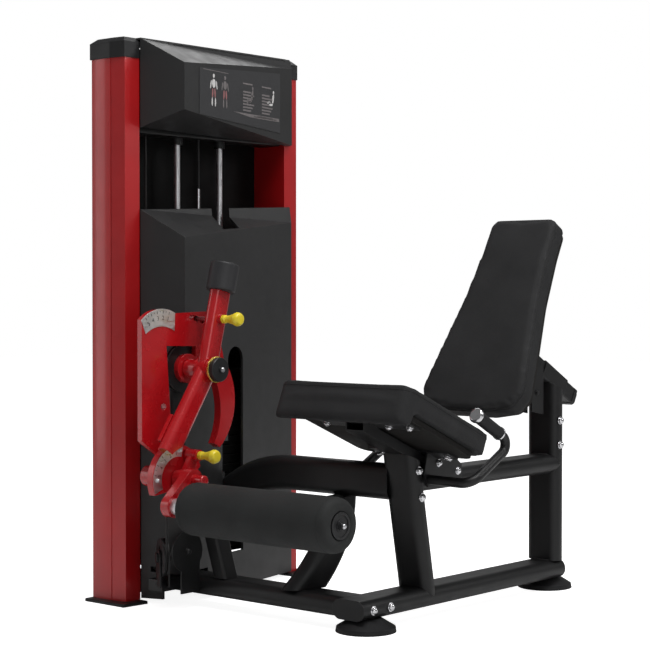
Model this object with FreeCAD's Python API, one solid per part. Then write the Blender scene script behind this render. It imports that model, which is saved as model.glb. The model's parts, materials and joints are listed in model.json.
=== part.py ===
"""Seated leg extension machine with its own weight stack, built piece by piece in millimetres.

Design axes: X runs from the weight tower out to the seat, Y from the knees back to the backrest, Z is up.
Every solid is drawn in those axes and moved to the part's origin, the centre of its footprint, when it is saved.
"""

import FreeCAD, Part
import math
import os

os.makedirs("parts", exist_ok=True)
V = FreeCAD.Vector
X_AXIS = V(1, 0, 0)
Y_AXIS = V(0, 1, 0)
Z_AXIS = V(0, 0, 1)

# Centre of the footprint in the design axes
ORIGIN_X = 384.55
ORIGIN_Y = 461.78

# Weight tower
TOWER_HEIGHT = 1500.0
TOWER_WIDTH = 691.0
COLUMN_DEPTH = 123.0
COLUMN_WIDTH = 61.0
COLUMN_WALL = 4.0
CAP_HEIGHT = 55.0
FOOT_PLATE = 8.0
INNER_Y0 = COLUMN_WIDTH
INNER_Y1 = TOWER_WIDTH - COLUMN_WIDTH
STACK_X = -61.0
STACK_Y = 341.0
ROD_SPACING = 166.0
ROD_RADIUS = 8.5
CROSS_TOP = 70.0
HEAD_BOTTOM = 1250.0
HEAD_TOP = 1290.0
COLLAR = 16.0

# Weight stack
PLATE_THICK = 26.0
PLATE_DEPTH = 100.0
PLATE_WIDTH = 360.0
PLATES_RESTING = 12
PLATES_LIFTED = 6
STACK_BOTTOM = 110.0
HEAD_PLATE_THICK = 30.0
STEM_RADIUS = 12.0
PULL_ROD_TOP = 1115.0
SELECTOR_RADIUS = 5.0

# Shrouds: plan line of the front face, from the proud corner to the far side
SHROUD_X0 = 3.0
SHROUD_CORNER = (127.0, 104.0)
SHROUD_FAR = (6.0, 650.0)
SHROUD_WALL = 4.0

# Cable and pulleys
CABLE_RADIUS = 3.0
CABLE_GAP = 0.3
PULLEY_PITCH = 45.0
PULLEY_RADIUS = 50.0
PULLEY_THICK = 16.0
PULLEY_AXLE = 8.0
RUNNING_GAP = 0.06
HEAD_PULLEY_Z = 1400.0
BASE_PULLEY_Z = 136.0
DOWN_RUN_Y = 140.0
DRUM_PITCH = 55.0
DRUM_RADIUS = 62.0
GUARD_Y = 64.0
GUARD_Z = 153.0

# Knee pivot and everything that swings about it
PIVOT_Y = 62.0
PIVOT_Z = 629.0
SHAFT_RADIUS = 15.0
POST_HEAD_X = (98.0, 146.0)
DRUM_X = (148.0, 168.0)
CAM_X = (168.0, 184.0)
ARM_X = (232.0, 268.0)
ARM_WIDTH = 60.0
ARM_LEAN_UP = 14.0
ARM_LEAN_DOWN = 33.9
ARM_TOP = 205.0
WEIGHT_HEIGHT = 74.0
START_PIN_REACH = 132.0
PIN_RADIUS = 6.0
PIN_TRAVEL = 12.0

# Pad lever and roller
LEVER_Y = -26.0
LEVER_Z = 354.0
SECTOR_X = (212.0, 232.0)
SCALE_RADII = (56.0, 84.0)
LEVER_PIN_Y = 9.0
LEVER_PIN_Z = 413.0
ROLLER_Y = -92.0
ROLLER_Z = 294.0
ROLLER_X = (345.0, 836.0)
ROLLER_RADIUS = 67.0
LEVER_BAR_X = (268.0, 294.0)

# Floor frame
BEAM_WIDE = 100.0
BEAM_HIGH = 50.0
BEAM_BOTTOM = 32.0
BEAM_TOP = BEAM_BOTTOM + BEAM_HIGH
TUBE_WALL = 3.0
TUBE_CORNER = 24.0
MAIN_BEAM_Y = 158.0
BASE_BEAM_X = 690.0
FRONT_POST_LOW_Y = 372.0
FRONT_POST_LEAN = 60.0 / 318.0
REAR_POST_Y = 954.5
RAIL_Z = 351.0
UPPER_TUBE_Y = 312.0
UPPER_TUBE_Z = 349.0
UPPER_TUBE_HIGH = 92.0
BRACE_X = 498.0
BRACE_BULGE = 26.0
FOOT_RADIUS = 75.0

# Seat
SEAT_X = 680.0
SEAT_WIDTH = 420.0
SEAT_LENGTH = 374.0
SEAT_FRONT = (95.0, 612.0)
SEAT_TILT = 23.0
SEAT_PAD = 57.3
SEAT_BOARD = 12.0
SEAT_LIP = 97.0
LIP_LENGTH = 46.0
RAIL_DROP = 34.0
RAIL_WIDE = 60.0
CHEEK_BOLTS = ((390, 396), (470, 370), (436, 407))

# Backrest
BACK_X = 690.0
BACK_FRONT = (572.0, 519.5)
BACK_LEAN = 28.5
BACK_LENGTH = 579.0
BACK_PAD = 56.0
BACK_BOARD = 12.0
BAR_SIDE = 45.0
BAR_CENTRE = (965.0, 586.0)
BAR_FALL = 28.5
SLEEVE_SIDE = 52.0
SLEEVE_HALF = 60.0

# Handles
HANDLE_RADIUS = 12.5
GRIP_RADIUS = 16.0
HANDLE_START = (352.0, 357.0)
HANDLE_OUT = 875.0
GRIP_REAR = (524.0, 444.0)
GRIP_FRONT = (380.0, 519.0)


def save(node, *shapes):
    """Write one node, moved from the design axes to the part's origin."""
    whole = shapes[0] if len(shapes) == 1 else Part.makeCompound(list(shapes))
    moved = whole.copy()
    moved.translate(V(-ORIGIN_X, -ORIGIN_Y, 0))
    moved.exportStep("parts/" + node + ".step")


def box(x, y, z):
    """Box between the low and high values of each axis."""
    return Part.makeBox(x[1] - x[0], y[1] - y[0], z[1] - z[0], V(x[0], y[0], z[0]))


def rod(start, direction, radius, length):
    return Part.makeCylinder(radius, length, V(*start), V(*direction))


def rod_x(x, y, z, radius):
    return rod((x[0], y, z), (1, 0, 0), radius, x[1] - x[0])


def ring_x(x, y, z, outer, inner):
    return rod_x(x, y, z, outer).cut(rod_x(x, y, z, inner))


def rod_z(x, y, z, radius):
    return rod((x, y, z[0]), (0, 0, 1), radius, z[1] - z[0])


def plate_x(points, x):
    """Flat plate drawn as (Y, Z) points and thickened along X."""
    corners = [V(x[0], y, z) for y, z in points]
    return Part.Face(Part.makePolygon(corners + corners[:1])).extrude(V(x[1] - x[0], 0, 0))


def bend(before, corner, after, radius):
    """Tangent points and middle of the arc that rounds one corner."""
    a = (before - corner).normalize()
    b = (after - corner).normalize()
    half = a.getAngle(b) / 2
    middle_line = (a + b).normalize()
    centre = corner + middle_line * (radius / math.sin(half))
    reach = radius / math.tan(half)
    return corner + a * reach, centre - middle_line * radius, corner + b * reach


def bent_path(points, radii):
    """Open path of straight runs joined by tangent arcs, one radius for each inner point."""
    points = [V(*p) for p in points]
    edges = []
    here = points[0]
    for i, radius in enumerate(radii, 1):
        first, middle, last = bend(points[i - 1], points[i], points[i + 1], radius)
        if here.distanceToPoint(first) > 0.01:
            edges.append(Part.LineSegment(here, first).toShape())
        edges.append(Part.Arc(first, middle, last).toShape())
        here = last
    edges.append(Part.LineSegment(here, points[-1]).toShape())
    return Part.Wire(edges)


def rounded_face(points, radii):
    """Face in the XY plane: a closed outline whose corners have the given radii."""
    points = [V(x, y, 0) for x, y in points]
    count = len(points)
    arcs = [
        bend(points[i - 1], points[i], points[(i + 1) % count], radii[i]) if radii[i] else (points[i],) * 3
        for i in range(count)
    ]
    edges = []
    for i, (first, middle, last) in enumerate(arcs):
        if radii[i]:
            edges.append(Part.Arc(first, middle, last).toShape())
        following = arcs[(i + 1) % count][0]
        if last.distanceToPoint(following) > 0.01:
            edges.append(Part.LineSegment(last, following).toShape())
    return Part.Face(Part.Wire(edges))


def rectangle_face(width, depth, radius):
    w = width / 2
    d = depth / 2
    return rounded_face([(w, d), (-w, d), (-w, -d), (w, -d)], [radius] * 4)


def stand(shape, origin, x_direction, z_direction):
    """Turn a shape drawn at the origin so that its X and Z point as given, and move it."""
    rotation = FreeCAD.Rotation(V(*x_direction), V(0, 0, 0), V(*z_direction), "ZXY")
    shape.Placement = FreeCAD.Placement(V(*origin), rotation).multiply(shape.Placement)
    return shape


def tube(start, end, wide_direction, wide, narrow, radius, wall):
    """Straight hollow tube of rounded rectangular section."""
    run = V(*end) - V(*start)
    outer = rectangle_face(wide, narrow, radius).extrude(Z_AXIS * run.Length)
    if wall:
        inner = rectangle_face(wide - 2 * wall, narrow - 2 * wall, max(radius - wall, 1))
        outer = outer.cut(inner.extrude(Z_AXIS * run.Length))
    return stand(outer, start, wide_direction, tuple(run))


def swept(path, face):
    """Solid of one closed profile carried along a path."""
    return path.makePipeShell([face.OuterWire], True, False)


def bent_tube(points, radii, wide_direction, wide, narrow, corner, wall):
    """Hollow tube of rounded rectangular section that follows a bent path."""
    path = bent_path(points, radii)
    run = tuple(V(*points[1]) - V(*points[0]))
    outer = stand(rectangle_face(wide, narrow, corner), points[0], wide_direction, run)
    inner = stand(
        rectangle_face(wide - 2 * wall, narrow - 2 * wall, corner - wall), points[0], wide_direction, run
    )
    return swept(path, outer).cut(swept(path, inner))


def bent_bar(points, radii, radius):
    """Round bar or cable that follows a bent path."""
    path = bent_path(points, radii)
    profile = Part.Wire(Part.makeCircle(radius, V(*points[0]), V(*points[1]) - V(*points[0])))
    return path.makePipeShell([profile], True, False)


def dome_bolt(centre, direction, radius):
    """Washer and domed head standing on a face, turned from one outline."""
    rim = 2 + radius * 0.45
    top = rim + radius * 0.55
    sphere = (radius**2 + (top - rim) ** 2) / (2 * (top - rim))
    half = math.asin(radius / sphere) / 2
    shoulder = V(sphere * math.sin(half), 0, top - sphere + sphere * math.cos(half))
    corners = [V(0, 0, top), V(0, 0, 0), V(radius * 1.25, 0, 0), V(radius * 1.25, 0, 2), V(radius, 0, 2), V(radius, 0, rim)]
    edges = list(Part.makePolygon(corners).Edges)
    edges.append(Part.Arc(corners[-1], shoulder, corners[0]).toShape())
    bolt = Part.Face(Part.Wire(edges)).revolve(V(0, 0, 0), Z_AXIS, 360)
    bolt.Placement = FreeCAD.Placement(V(*centre), FreeCAD.Rotation(Z_AXIS, V(*direction)))
    return bolt


def mirrored_y(shape):
    """The same piece on the other side of the tower."""
    return shape.mirror(V(0, TOWER_WIDTH / 2, 0), Y_AXIS)


# ---------------------------------------------------------------- weight tower


def column():
    """Hollow column whose outer face is slightly bowed, with a groove beside a canted front strip."""
    split = -47.0
    groove = 2.5
    cant = 9.0
    bow = Part.Arc(V(-COLUMN_DEPTH, 3, 0), V(-86, 0, 0), V(split - 2, 2, 0)).toShape()
    corners = [
        (split - 2, 2),
        (split - 1, 2 + groove),
        (split + 1, 2 + groove),
        (split + 2, 2),
        (0, cant),
        (0, COLUMN_WIDTH),
        (-COLUMN_DEPTH, COLUMN_WIDTH),
        (-COLUMN_DEPTH, 3),
    ]
    sides = Part.makePolygon([V(x, y, 0) for x, y in corners])
    profile = Part.Face(Part.Wire([bow] + sides.Edges))
    top = TOWER_HEIGHT - CAP_HEIGHT
    shell = profile.extrude(V(0, 0, top - FOOT_PLATE))
    shell.translate(V(0, 0, FOOT_PLATE))
    hollow = box(
        (-COLUMN_DEPTH + COLUMN_WALL, -COLUMN_WALL),
        (cant + COLUMN_WALL, COLUMN_WIDTH - COLUMN_WALL),
        (FOOT_PLATE, top),
    )
    return shell.cut(hollow)


def column_cap():
    """Moulded cap with bevelled outer edges and a plug that enters the column."""
    over = 2.0
    bevel = 13.0
    base = TOWER_HEIGHT - CAP_HEIGHT
    outline = [(-COLUMN_DEPTH - over, -over), (-47, -over), (over, 6), (over, 60), (-COLUMN_DEPTH - over, 60)]
    inner = [(-COLUMN_DEPTH + bevel, bevel), (-47, bevel), (-bevel, 18), (-bevel, 60), (-COLUMN_DEPTH + bevel, 60)]
    wall_top = TOWER_HEIGHT - bevel
    lower = Part.makePolygon([V(x, y, wall_top) for x, y in outline + outline[:1]])
    upper = Part.makePolygon([V(x, y, TOWER_HEIGHT) for x, y in inner + inner[:1]])
    skirt = Part.Face(Part.makePolygon([V(x, y, base) for x, y in outline + outline[:1]]))
    body = skirt.extrude(V(0, 0, wall_top - base)).fuse(Part.makeLoft([lower, upper], True, True))
    plug = box((-COLUMN_DEPTH + 5, -5), (14, COLUMN_WIDTH - 5), (base - 18, base))
    return body.fuse(plug).removeSplitter()


def foot_plate():
    """Floor plate under a column, proud of it on the outer and front sides, with a bevelled rim."""
    outline = [(-127, -24), (27, -24), (32, 60), (-127, 60)]
    plate = rounded_face(outline, [4] * 4).extrude(V(0, 0, FOOT_PLATE))
    rim = [e for e in plate.Edges if abs(e.CenterOfMass.z - FOOT_PLATE) < 0.01 and e.Length > 20]
    return plate.makeChamfer(2, rim)


def guide_positions():
    return [STACK_Y - ROD_SPACING / 2, STACK_Y + ROD_SPACING / 2]


def build_tower():
    save("column_front", column())
    save("column_rear", mirrored_y(column()))
    save("column_caps", column_cap(), mirrored_y(column_cap()))
    save("foot_plates", foot_plate(), mirrored_y(foot_plate()))

    low_beam = tube(
        (-62, INNER_Y0, 45), (-62, INNER_Y1, 45), (1, 0, 0), 76, 50, 5, 4
    )
    save("base_crossmember", low_beam)

    middle = (HEAD_BOTTOM + HEAD_TOP) / 2
    head = tube((STACK_X, INNER_Y0, middle), (STACK_X, INNER_Y1, middle), (1, 0, 0), 88, HEAD_TOP - HEAD_BOTTOM, 5, 4)
    for y in (DOWN_RUN_Y, STACK_Y):
        head = head.cut(rod_z(STACK_X, y, (HEAD_BOTTOM - 5, HEAD_TOP + 5), 9))
    collars = []
    for y in guide_positions():
        for z in ((HEAD_BOTTOM - 18, HEAD_BOTTOM), (CROSS_TOP, CROSS_TOP + 14)):
            collars.append(rod_z(STACK_X, y, z, COLLAR).cut(rod_z(STACK_X, y, z, ROD_RADIUS)))
    save("head_crossmember", head, *collars)
    save("guide_rods", *[rod_z(STACK_X, y, (CROSS_TOP, HEAD_BOTTOM), ROD_RADIUS) for y in guide_positions()])

    cover = box((-COLUMN_DEPTH + 1, -COLUMN_DEPTH + 4), (INNER_Y0, INNER_Y1), (CROSS_TOP + 4, TOWER_HEIGHT - 8))
    save("rear_cover", cover)


# ---------------------------------------------------------------- weight stack


def stack_plate(bottom, thickness):
    """One plate with bevelled long edges, rod holes, stem hole and selector hole."""
    bevel = 2.5
    x0 = STACK_X - PLATE_DEPTH / 2
    x1 = STACK_X + PLATE_DEPTH / 2
    y0 = STACK_Y - PLATE_WIDTH / 2
    top = bottom + thickness
    section = [
        (x0 + bevel, bottom), (x1 - bevel, bottom), (x1, bottom + bevel), (x1, top - bevel),
        (x1 - bevel, top), (x0 + bevel, top), (x0, top - bevel), (x0, bottom + bevel),
    ]
    outline = Part.makePolygon([V(x, y0, z) for x, z in section + section[:1]])
    plate = Part.Face(outline).extrude(V(0, PLATE_WIDTH, 0))
    cuts = [rod_z(STACK_X, y, (bottom - 1, top + 1), ROD_RADIUS + 2.5) for y in guide_positions()]
    cuts.append(rod_z(STACK_X, STACK_Y, (bottom - 1, top + 1), STEM_RADIUS + 2))
    cuts.append(rod_x((STACK_X, x1 + 5), STACK_Y, bottom + thickness / 2, SELECTOR_RADIUS + 1.5))
    return plate.cut(cuts)


def build_stack():
    cushions = [
        rod_z(STACK_X, y, (CROSS_TOP + 14, STACK_BOTTOM), 27).cut(
            rod_z(STACK_X, y, (CROSS_TOP, STACK_BOTTOM), ROD_RADIUS + 2)
        )
        for y in guide_positions()
    ]
    save("stack_cushions", *cushions)
    bottoms = [STACK_BOTTOM + i * PLATE_THICK for i in range(PLATES_RESTING + PLATES_LIFTED)]
    save("resting_plates", *[stack_plate(z, PLATE_THICK) for z in bottoms[:PLATES_RESTING]])
    save("lifted_plates", *[stack_plate(z, PLATE_THICK) for z in bottoms[PLATES_RESTING:]])

    stack_top = bottoms[-1] + PLATE_THICK
    head = stack_plate(stack_top, HEAD_PLATE_THICK)
    head = head.fuse(rod_z(STACK_X, STACK_Y, (stack_top + HEAD_PLATE_THICK, stack_top + HEAD_PLATE_THICK + 12), 24))
    head = head.cut(rod_z(STACK_X, STACK_Y, (stack_top - 1, stack_top + 60), STEM_RADIUS))
    save("head_plate", head)

    stem = rod_z(STACK_X, STACK_Y, (STACK_BOTTOM + 20, stack_top + HEAD_PLATE_THICK + 30), STEM_RADIUS)
    stem = stem.fuse(rod_z(STACK_X, STACK_Y, (stack_top, PULL_ROD_TOP), 4.5))
    holes = [
        rod_x((STACK_X - 20, STACK_X + 20), STACK_Y, z + PLATE_THICK / 2, SELECTOR_RADIUS + RUNNING_GAP)
        for z in bottoms[1:]
    ]
    save("selector_stem", stem.cut(holes))

    pin_z = bottoms[PLATES_RESTING] + PLATE_THICK / 2
    face = STACK_X + PLATE_DEPTH / 2
    pin = rod_x((STACK_X - 12.5, face + 6), STACK_Y, pin_z, SELECTOR_RADIUS)
    knob = rod_x((face + 4, face + 30), STACK_Y, pin_z, 14)
    knob = knob.makeFillet(4, [e for e in knob.Edges if e.Length > 80])
    save("selector_pin", pin.fuse(knob))


# ---------------------------------------------------------------- shrouds and placard


def faceted_solid(faces):
    """Closed solid from flat faces given as lists of corners."""
    shell = Part.Shell([Part.Face(Part.makePolygon([V(*p) for p in f + f[:1]])) for f in faces])
    return Part.Solid(shell)


def shroud_solid(near_top, near_low, far_top, far_low, back_tops, back_lows):
    """Wedge-shaped hood: near corner proud, far side nearly flush, back open side flat."""
    a, b = back_tops
    c, d = back_lows
    faces = [
        [a, b, far_top], [a, far_top, near_top],
        [near_top, far_top, far_low, near_low],
        [near_low, far_low, c], [c, far_low, d],
        [a, near_top, near_low, c],
        [b, d, far_low, far_top],
        [a, c, d, b],
    ]
    return faceted_solid(faces)


def top_hood(inset):
    """Outer or inner skin of the upper hood."""
    x, y = SHROUD_CORNER
    fx, fy = SHROUD_FAR
    k = inset
    x0 = SHROUD_X0 - k * 3
    return shroud_solid(
        (x - 2 * k, y + 0.4 * k, 1429 - k),
        (x - 2 * k, y + 0.4 * k, 1306 + 0.3 * k),
        (fx + 6 - 2.2 * k, fy - 1.5 * k, 1474 - k),
        (fx + 6 - 2.2 * k, fy - 1.5 * k, 1252 + k),
        [(x0, INNER_Y0 + 1.5 * k, TOWER_HEIGHT - k), (x0, fy - 1.5 * k, TOWER_HEIGHT - k)],
        [(x0, INNER_Y0 + 1.5 * k, 1263 + 0.5 * k), (x0, fy - 1.5 * k, 1250 + 1.2 * k)],
    )


def lower_hood(inset):
    """Outer or inner skin of the lower hood, whose ledge climbs towards the far side."""
    x, y = SHROUD_CORNER
    fx, fy = SHROUD_FAR
    k = inset
    x0 = SHROUD_X0 - k * 3
    floor = 12 - 10 * (k > 0)
    return shroud_solid(
        (x - 2 * k, y + 0.4 * k, 971 - k),
        (x - 2 * k, y + 0.4 * k, floor),
        (fx + 4 - 2.2 * k, fy - 1.5 * k, 1028 - k),
        (fx + 4 - 2.2 * k, fy - 1.5 * k, floor),
        [(x0, INNER_Y0 + 1.5 * k, 1046 - k), (x0, fy - 1.5 * k, 1073 - k)],
        [(x0, INNER_Y0 + 1.5 * k, floor), (x0, fy - 1.5 * k, floor)],
    )


def front_face_x(y):
    """X of the hoods' front plane at a given Y."""
    x0, y0 = SHROUD_CORNER
    x1, y1 = SHROUD_FAR
    return x0 + (x1 + 6 - x0) * (y - y0) / (y1 - y0)


def build_shrouds():
    roof = box((-COLUMN_DEPTH + 5, SHROUD_X0 + 3), (INNER_Y0, INNER_Y1), (TOWER_HEIGHT - 5, TOWER_HEIGHT))
    hood = top_hood(0).cut(top_hood(SHROUD_WALL)).fuse(roof)
    save("top_shroud", hood)

    hood = lower_hood(0).cut(lower_hood(SHROUD_WALL))
    slot_y = (311.0, 387.0)
    slot_top = 677.0
    half = (slot_y[1] - slot_y[0]) / 2
    middle = (slot_y[0] + slot_y[1]) / 2
    slot = box((20, 150), slot_y, (110, slot_top - half)).fuse(
        rod_x((20, 150), middle, slot_top - half, half)
    )
    corners = [V(x, y, 940) for x, y in ((-5, 331), (-5, 400), (62, 378), (74, 302), (-5, 331))]
    notch = Part.Face(Part.makePolygon(corners)).extrude(V(0, 0, 200))
    beam_way = box((-5, 150), (MAIN_BEAM_Y - 53, MAIN_BEAM_Y + 53), (0, BEAM_TOP + 4))
    tube_way = box((20, 150), (UPPER_TUBE_Y - 29, UPPER_TUBE_Y + 29), (190, 420))
    bracket_way = box((64, 128), (60, 112), (0, 80))
    cable_way = box((30, 62), (60, 110), (BASE_PULLEY_Z - PULLEY_PITCH - 7, BASE_PULLEY_Z - PULLEY_PITCH + 7))
    save("lower_shroud", hood.cut([slot, notch, beam_way, tube_way, bracket_way, cable_way]))

    y0, y1 = 172.0, 582.0
    skin = 1.5
    points = [
        V(front_face_x(y0), y0, 1300), V(front_face_x(y1), y1, 1282),
        V(front_face_x(y1), y1, 1452), V(front_face_x(y0), y0, 1424),
    ]
    slope = V(SHROUD_FAR[1] - SHROUD_CORNER[1], SHROUD_CORNER[0] - SHROUD_FAR[0] - 6, 0).normalize()
    plate = Part.Face(Part.makePolygon(points + points[:1])).extrude(slope * skin)
    save("placard", plate)


# ---------------------------------------------------------------- cable route


def base_run():
    """Plan points of the two upright cable runs, and the unit vector from the first to the second."""
    tower = V(STACK_X, DOWN_RUN_Y, 0)
    drum = V(sum(DRUM_X) / 2, PIVOT_Y - DRUM_PITCH, 0)
    return tower, drum, (drum - tower).normalize()


def pulley(centre, axis):
    """Grooved pulley with a bore and lightening holes."""
    axis = V(*axis).normalize()
    centre = V(*centre)
    back = centre - axis * (PULLEY_THICK / 2)
    disc = Part.makeCylinder(PULLEY_RADIUS, PULLEY_THICK, back, axis)
    groove = Part.makeTorus(PULLEY_PITCH, CABLE_RADIUS + CABLE_GAP, centre, axis)
    mouth_width = 2 * (CABLE_RADIUS + CABLE_GAP)
    mouth_start = centre - axis * (mouth_width / 2)
    mouth = Part.makeCylinder(PULLEY_RADIUS + 1, mouth_width, mouth_start, axis)
    mouth = mouth.cut(Part.makeCylinder(PULLEY_PITCH, mouth_width, mouth_start, axis))
    bore = Part.makeCylinder(PULLEY_AXLE + RUNNING_GAP, PULLEY_THICK, back, axis)
    side = axis.cross(Z_AXIS).normalize()
    lights = []
    for i in range(5):
        turn = FreeCAD.Rotation(axis, i * 72.0)
        lights.append(Part.makeCylinder(6, PULLEY_THICK, back + turn.multVec(side * 26), axis))
    return disc.cut([groove, mouth, bore] + lights)


def pulley_centres():
    """Name to centre and axis of the four pulleys."""
    tower, drum, along = base_run()
    across = along.cross(Z_AXIS)
    inner = tower + along * PULLEY_PITCH
    outer = drum - along * PULLEY_PITCH
    return {
        "head_pulley_rear": ((STACK_X, STACK_Y - PULLEY_PITCH, HEAD_PULLEY_Z), (1, 0, 0)),
        "head_pulley_front": ((STACK_X, DOWN_RUN_Y + PULLEY_PITCH, HEAD_PULLEY_Z), (1, 0, 0)),
        "base_pulley_inner": ((inner.x, inner.y, BASE_PULLEY_Z), tuple(across)),
        "base_pulley_outer": ((outer.x, outer.y, BASE_PULLEY_Z), tuple(across)),
    }


def pulley_bolt(centre, axis, half_length):
    """Axle bolt with a washer head at each end."""
    axis = V(*axis).normalize()
    centre = V(*centre)
    shank = Part.makeCylinder(PULLEY_AXLE, 2 * half_length, centre - axis * half_length, axis)
    heads = [Part.makeCylinder(13, 5, centre + axis * half_length, axis)]
    heads.append(Part.makeCylinder(13, 5, centre - axis * (half_length + 5), axis))
    return shank.fuse(heads)


def cheek(start, end, axis, offset, half_height, thickness):
    """Round-ended side plate between two pulley centres."""
    axis = V(*axis).normalize()
    start = V(*start) + axis * offset
    end = V(*end) + axis * offset
    along = (end - start).normalize()
    length = start.distanceToPoint(end)
    outline = rectangle_face(length + 2 * half_height, 2 * half_height, half_height - 0.5)
    plate = outline.extrude(V(0, 0, thickness))
    middle = (start + end) * 0.5 - axis * (thickness / 2)
    return stand(plate, tuple(middle), tuple(along), tuple(axis))


def stirrup(centre, axis, offset, foot_z):
    """Round-topped plate that carries one end of a pulley axle from the frame below it."""
    axis = V(*axis).normalize()
    middle = V(*centre) + axis * (offset - 2.5)
    round_top = Part.makeCylinder(22, 5, middle, axis)
    drop = rectangle_face(44, 5, 0.5).extrude(V(0, 0, centre[2] - foot_z))
    foot = middle + axis * 2.5
    drop = stand(drop, (foot.x, foot.y, foot_z), tuple(axis.cross(Z_AXIS)), (0, 0, 1))
    return round_top.fuse(drop)


def cable_guard():
    """Round guard disc beside the rising cable, on an arm from the main beam."""
    x = (172, 177)
    disc = rod_x(x, GUARD_Y, GUARD_Z, 54)
    arm = box(x, (GUARD_Y - 22, MAIN_BEAM_Y - BEAM_WIDE / 2), (BEAM_BOTTOM + 12, GUARD_Z - 20))
    boss = rod_x((162, x[0]), GUARD_Y, GUARD_Z, 14)
    return disc.fuse([arm, boss, dome_bolt((x[1], GUARD_Y, GUARD_Z), (1, 0, 0), 8)])


def build_cable():
    centres = pulley_centres()
    for name, (centre, axis) in centres.items():
        save(name, pulley(centre, axis))

    brackets = []
    bolts = [pulley_bolt(centre, axis, 14) for centre, axis in centres.values()]
    front, axis = centres["head_pulley_front"]
    rear = centres["head_pulley_rear"][0]
    middle_y = (front[1] + rear[1]) / 2
    for offset in (-11.5, 11.5):
        plate = cheek(front, rear, axis, offset, 24, 5)
        side = (STACK_X + offset - 2.5, STACK_X + offset + 2.5)
        leg = box(side, (middle_y - 30, middle_y + 30), (HEAD_TOP, HEAD_PULLEY_Z - 10))
        brackets.append(plate.fuse(leg))
    inner, axis = centres["base_pulley_inner"]
    outer = centres["base_pulley_outer"][0]
    for offset in (-11.5, 11.5):
        brackets.append(stirrup(inner, axis, offset, BEAM_TOP))
    block = box((72, 122), (24, MAIN_BEAM_Y - BEAM_WIDE / 2), (46, 76))
    arms = [stirrup(outer, axis, offset, 60) for offset in (-11.5, 11.5)]
    brackets.append(block.fuse(arms))
    brackets.append(cable_guard())
    holes = [
        Part.makeCylinder(PULLEY_AXLE, 60, V(*c) - V(*a).normalize() * 30, V(*a))
        for c, a in centres.values()
    ]
    save("pulley_brackets", *[b.cut(holes) for b in brackets], *bolts)

    tower, drum, along = base_run()
    low = BASE_PULLEY_Z - PULLEY_PITCH
    high = HEAD_PULLEY_Z + PULLEY_PITCH
    route = [
        (STACK_X, STACK_Y, HEAD_PULLEY_Z - 6),
        (STACK_X, STACK_Y, high),
        (STACK_X, DOWN_RUN_Y, high),
        (STACK_X, DOWN_RUN_Y, low),
        (drum.x, drum.y, low),
        (drum.x, drum.y, PIVOT_Z - 30),
    ]
    save("lift_cable", bent_bar(route, [PULLEY_PITCH - 0.01] * 4, CABLE_RADIUS))
    save("stem_cable", rod_z(STACK_X, STACK_Y, (PULL_ROD_TOP, HEAD_PULLEY_Z - 6), CABLE_RADIUS))


# ---------------------------------------------------------------- pivot, cam and drum


def polar(angle, radius):
    """Point about the knee pivot, angle in degrees from +Y towards +Z."""
    a = math.radians(angle)
    return PIVOT_Y + radius * math.cos(a), PIVOT_Z + radius * math.sin(a)


def about_pivot(points):
    return [(PIVOT_Y + y, PIVOT_Z + z) for y, z in points]


def arc_x(x, first, middle, last):
    return Part.Arc(V(x, *first), V(x, *middle), V(x, *last)).toShape()


def line_x(x, first, last):
    return Part.LineSegment(V(x, *first), V(x, *last)).toShape()


def arc_slot(x, centre, radius, half_width, start, end):
    """Curved slot with rounded ends, cut along X."""
    cy, cz = centre
    ring = ring_x(x, cy, cz, radius + half_width, radius - half_width)
    reach = radius * 2
    steps = 6
    fan = [(cy, cz)]
    for i in range(steps + 1):
        a = math.radians(start + (end - start) * i / steps)
        fan.append((cy + reach * math.cos(a), cz + reach * math.sin(a)))
    slot = ring.common(plate_x(fan, x))
    for angle in (start, end):
        a = math.radians(angle)
        slot = slot.fuse(rod_x(x, cy + radius * math.cos(a), cz + radius * math.sin(a), half_width))
    return slot


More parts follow.
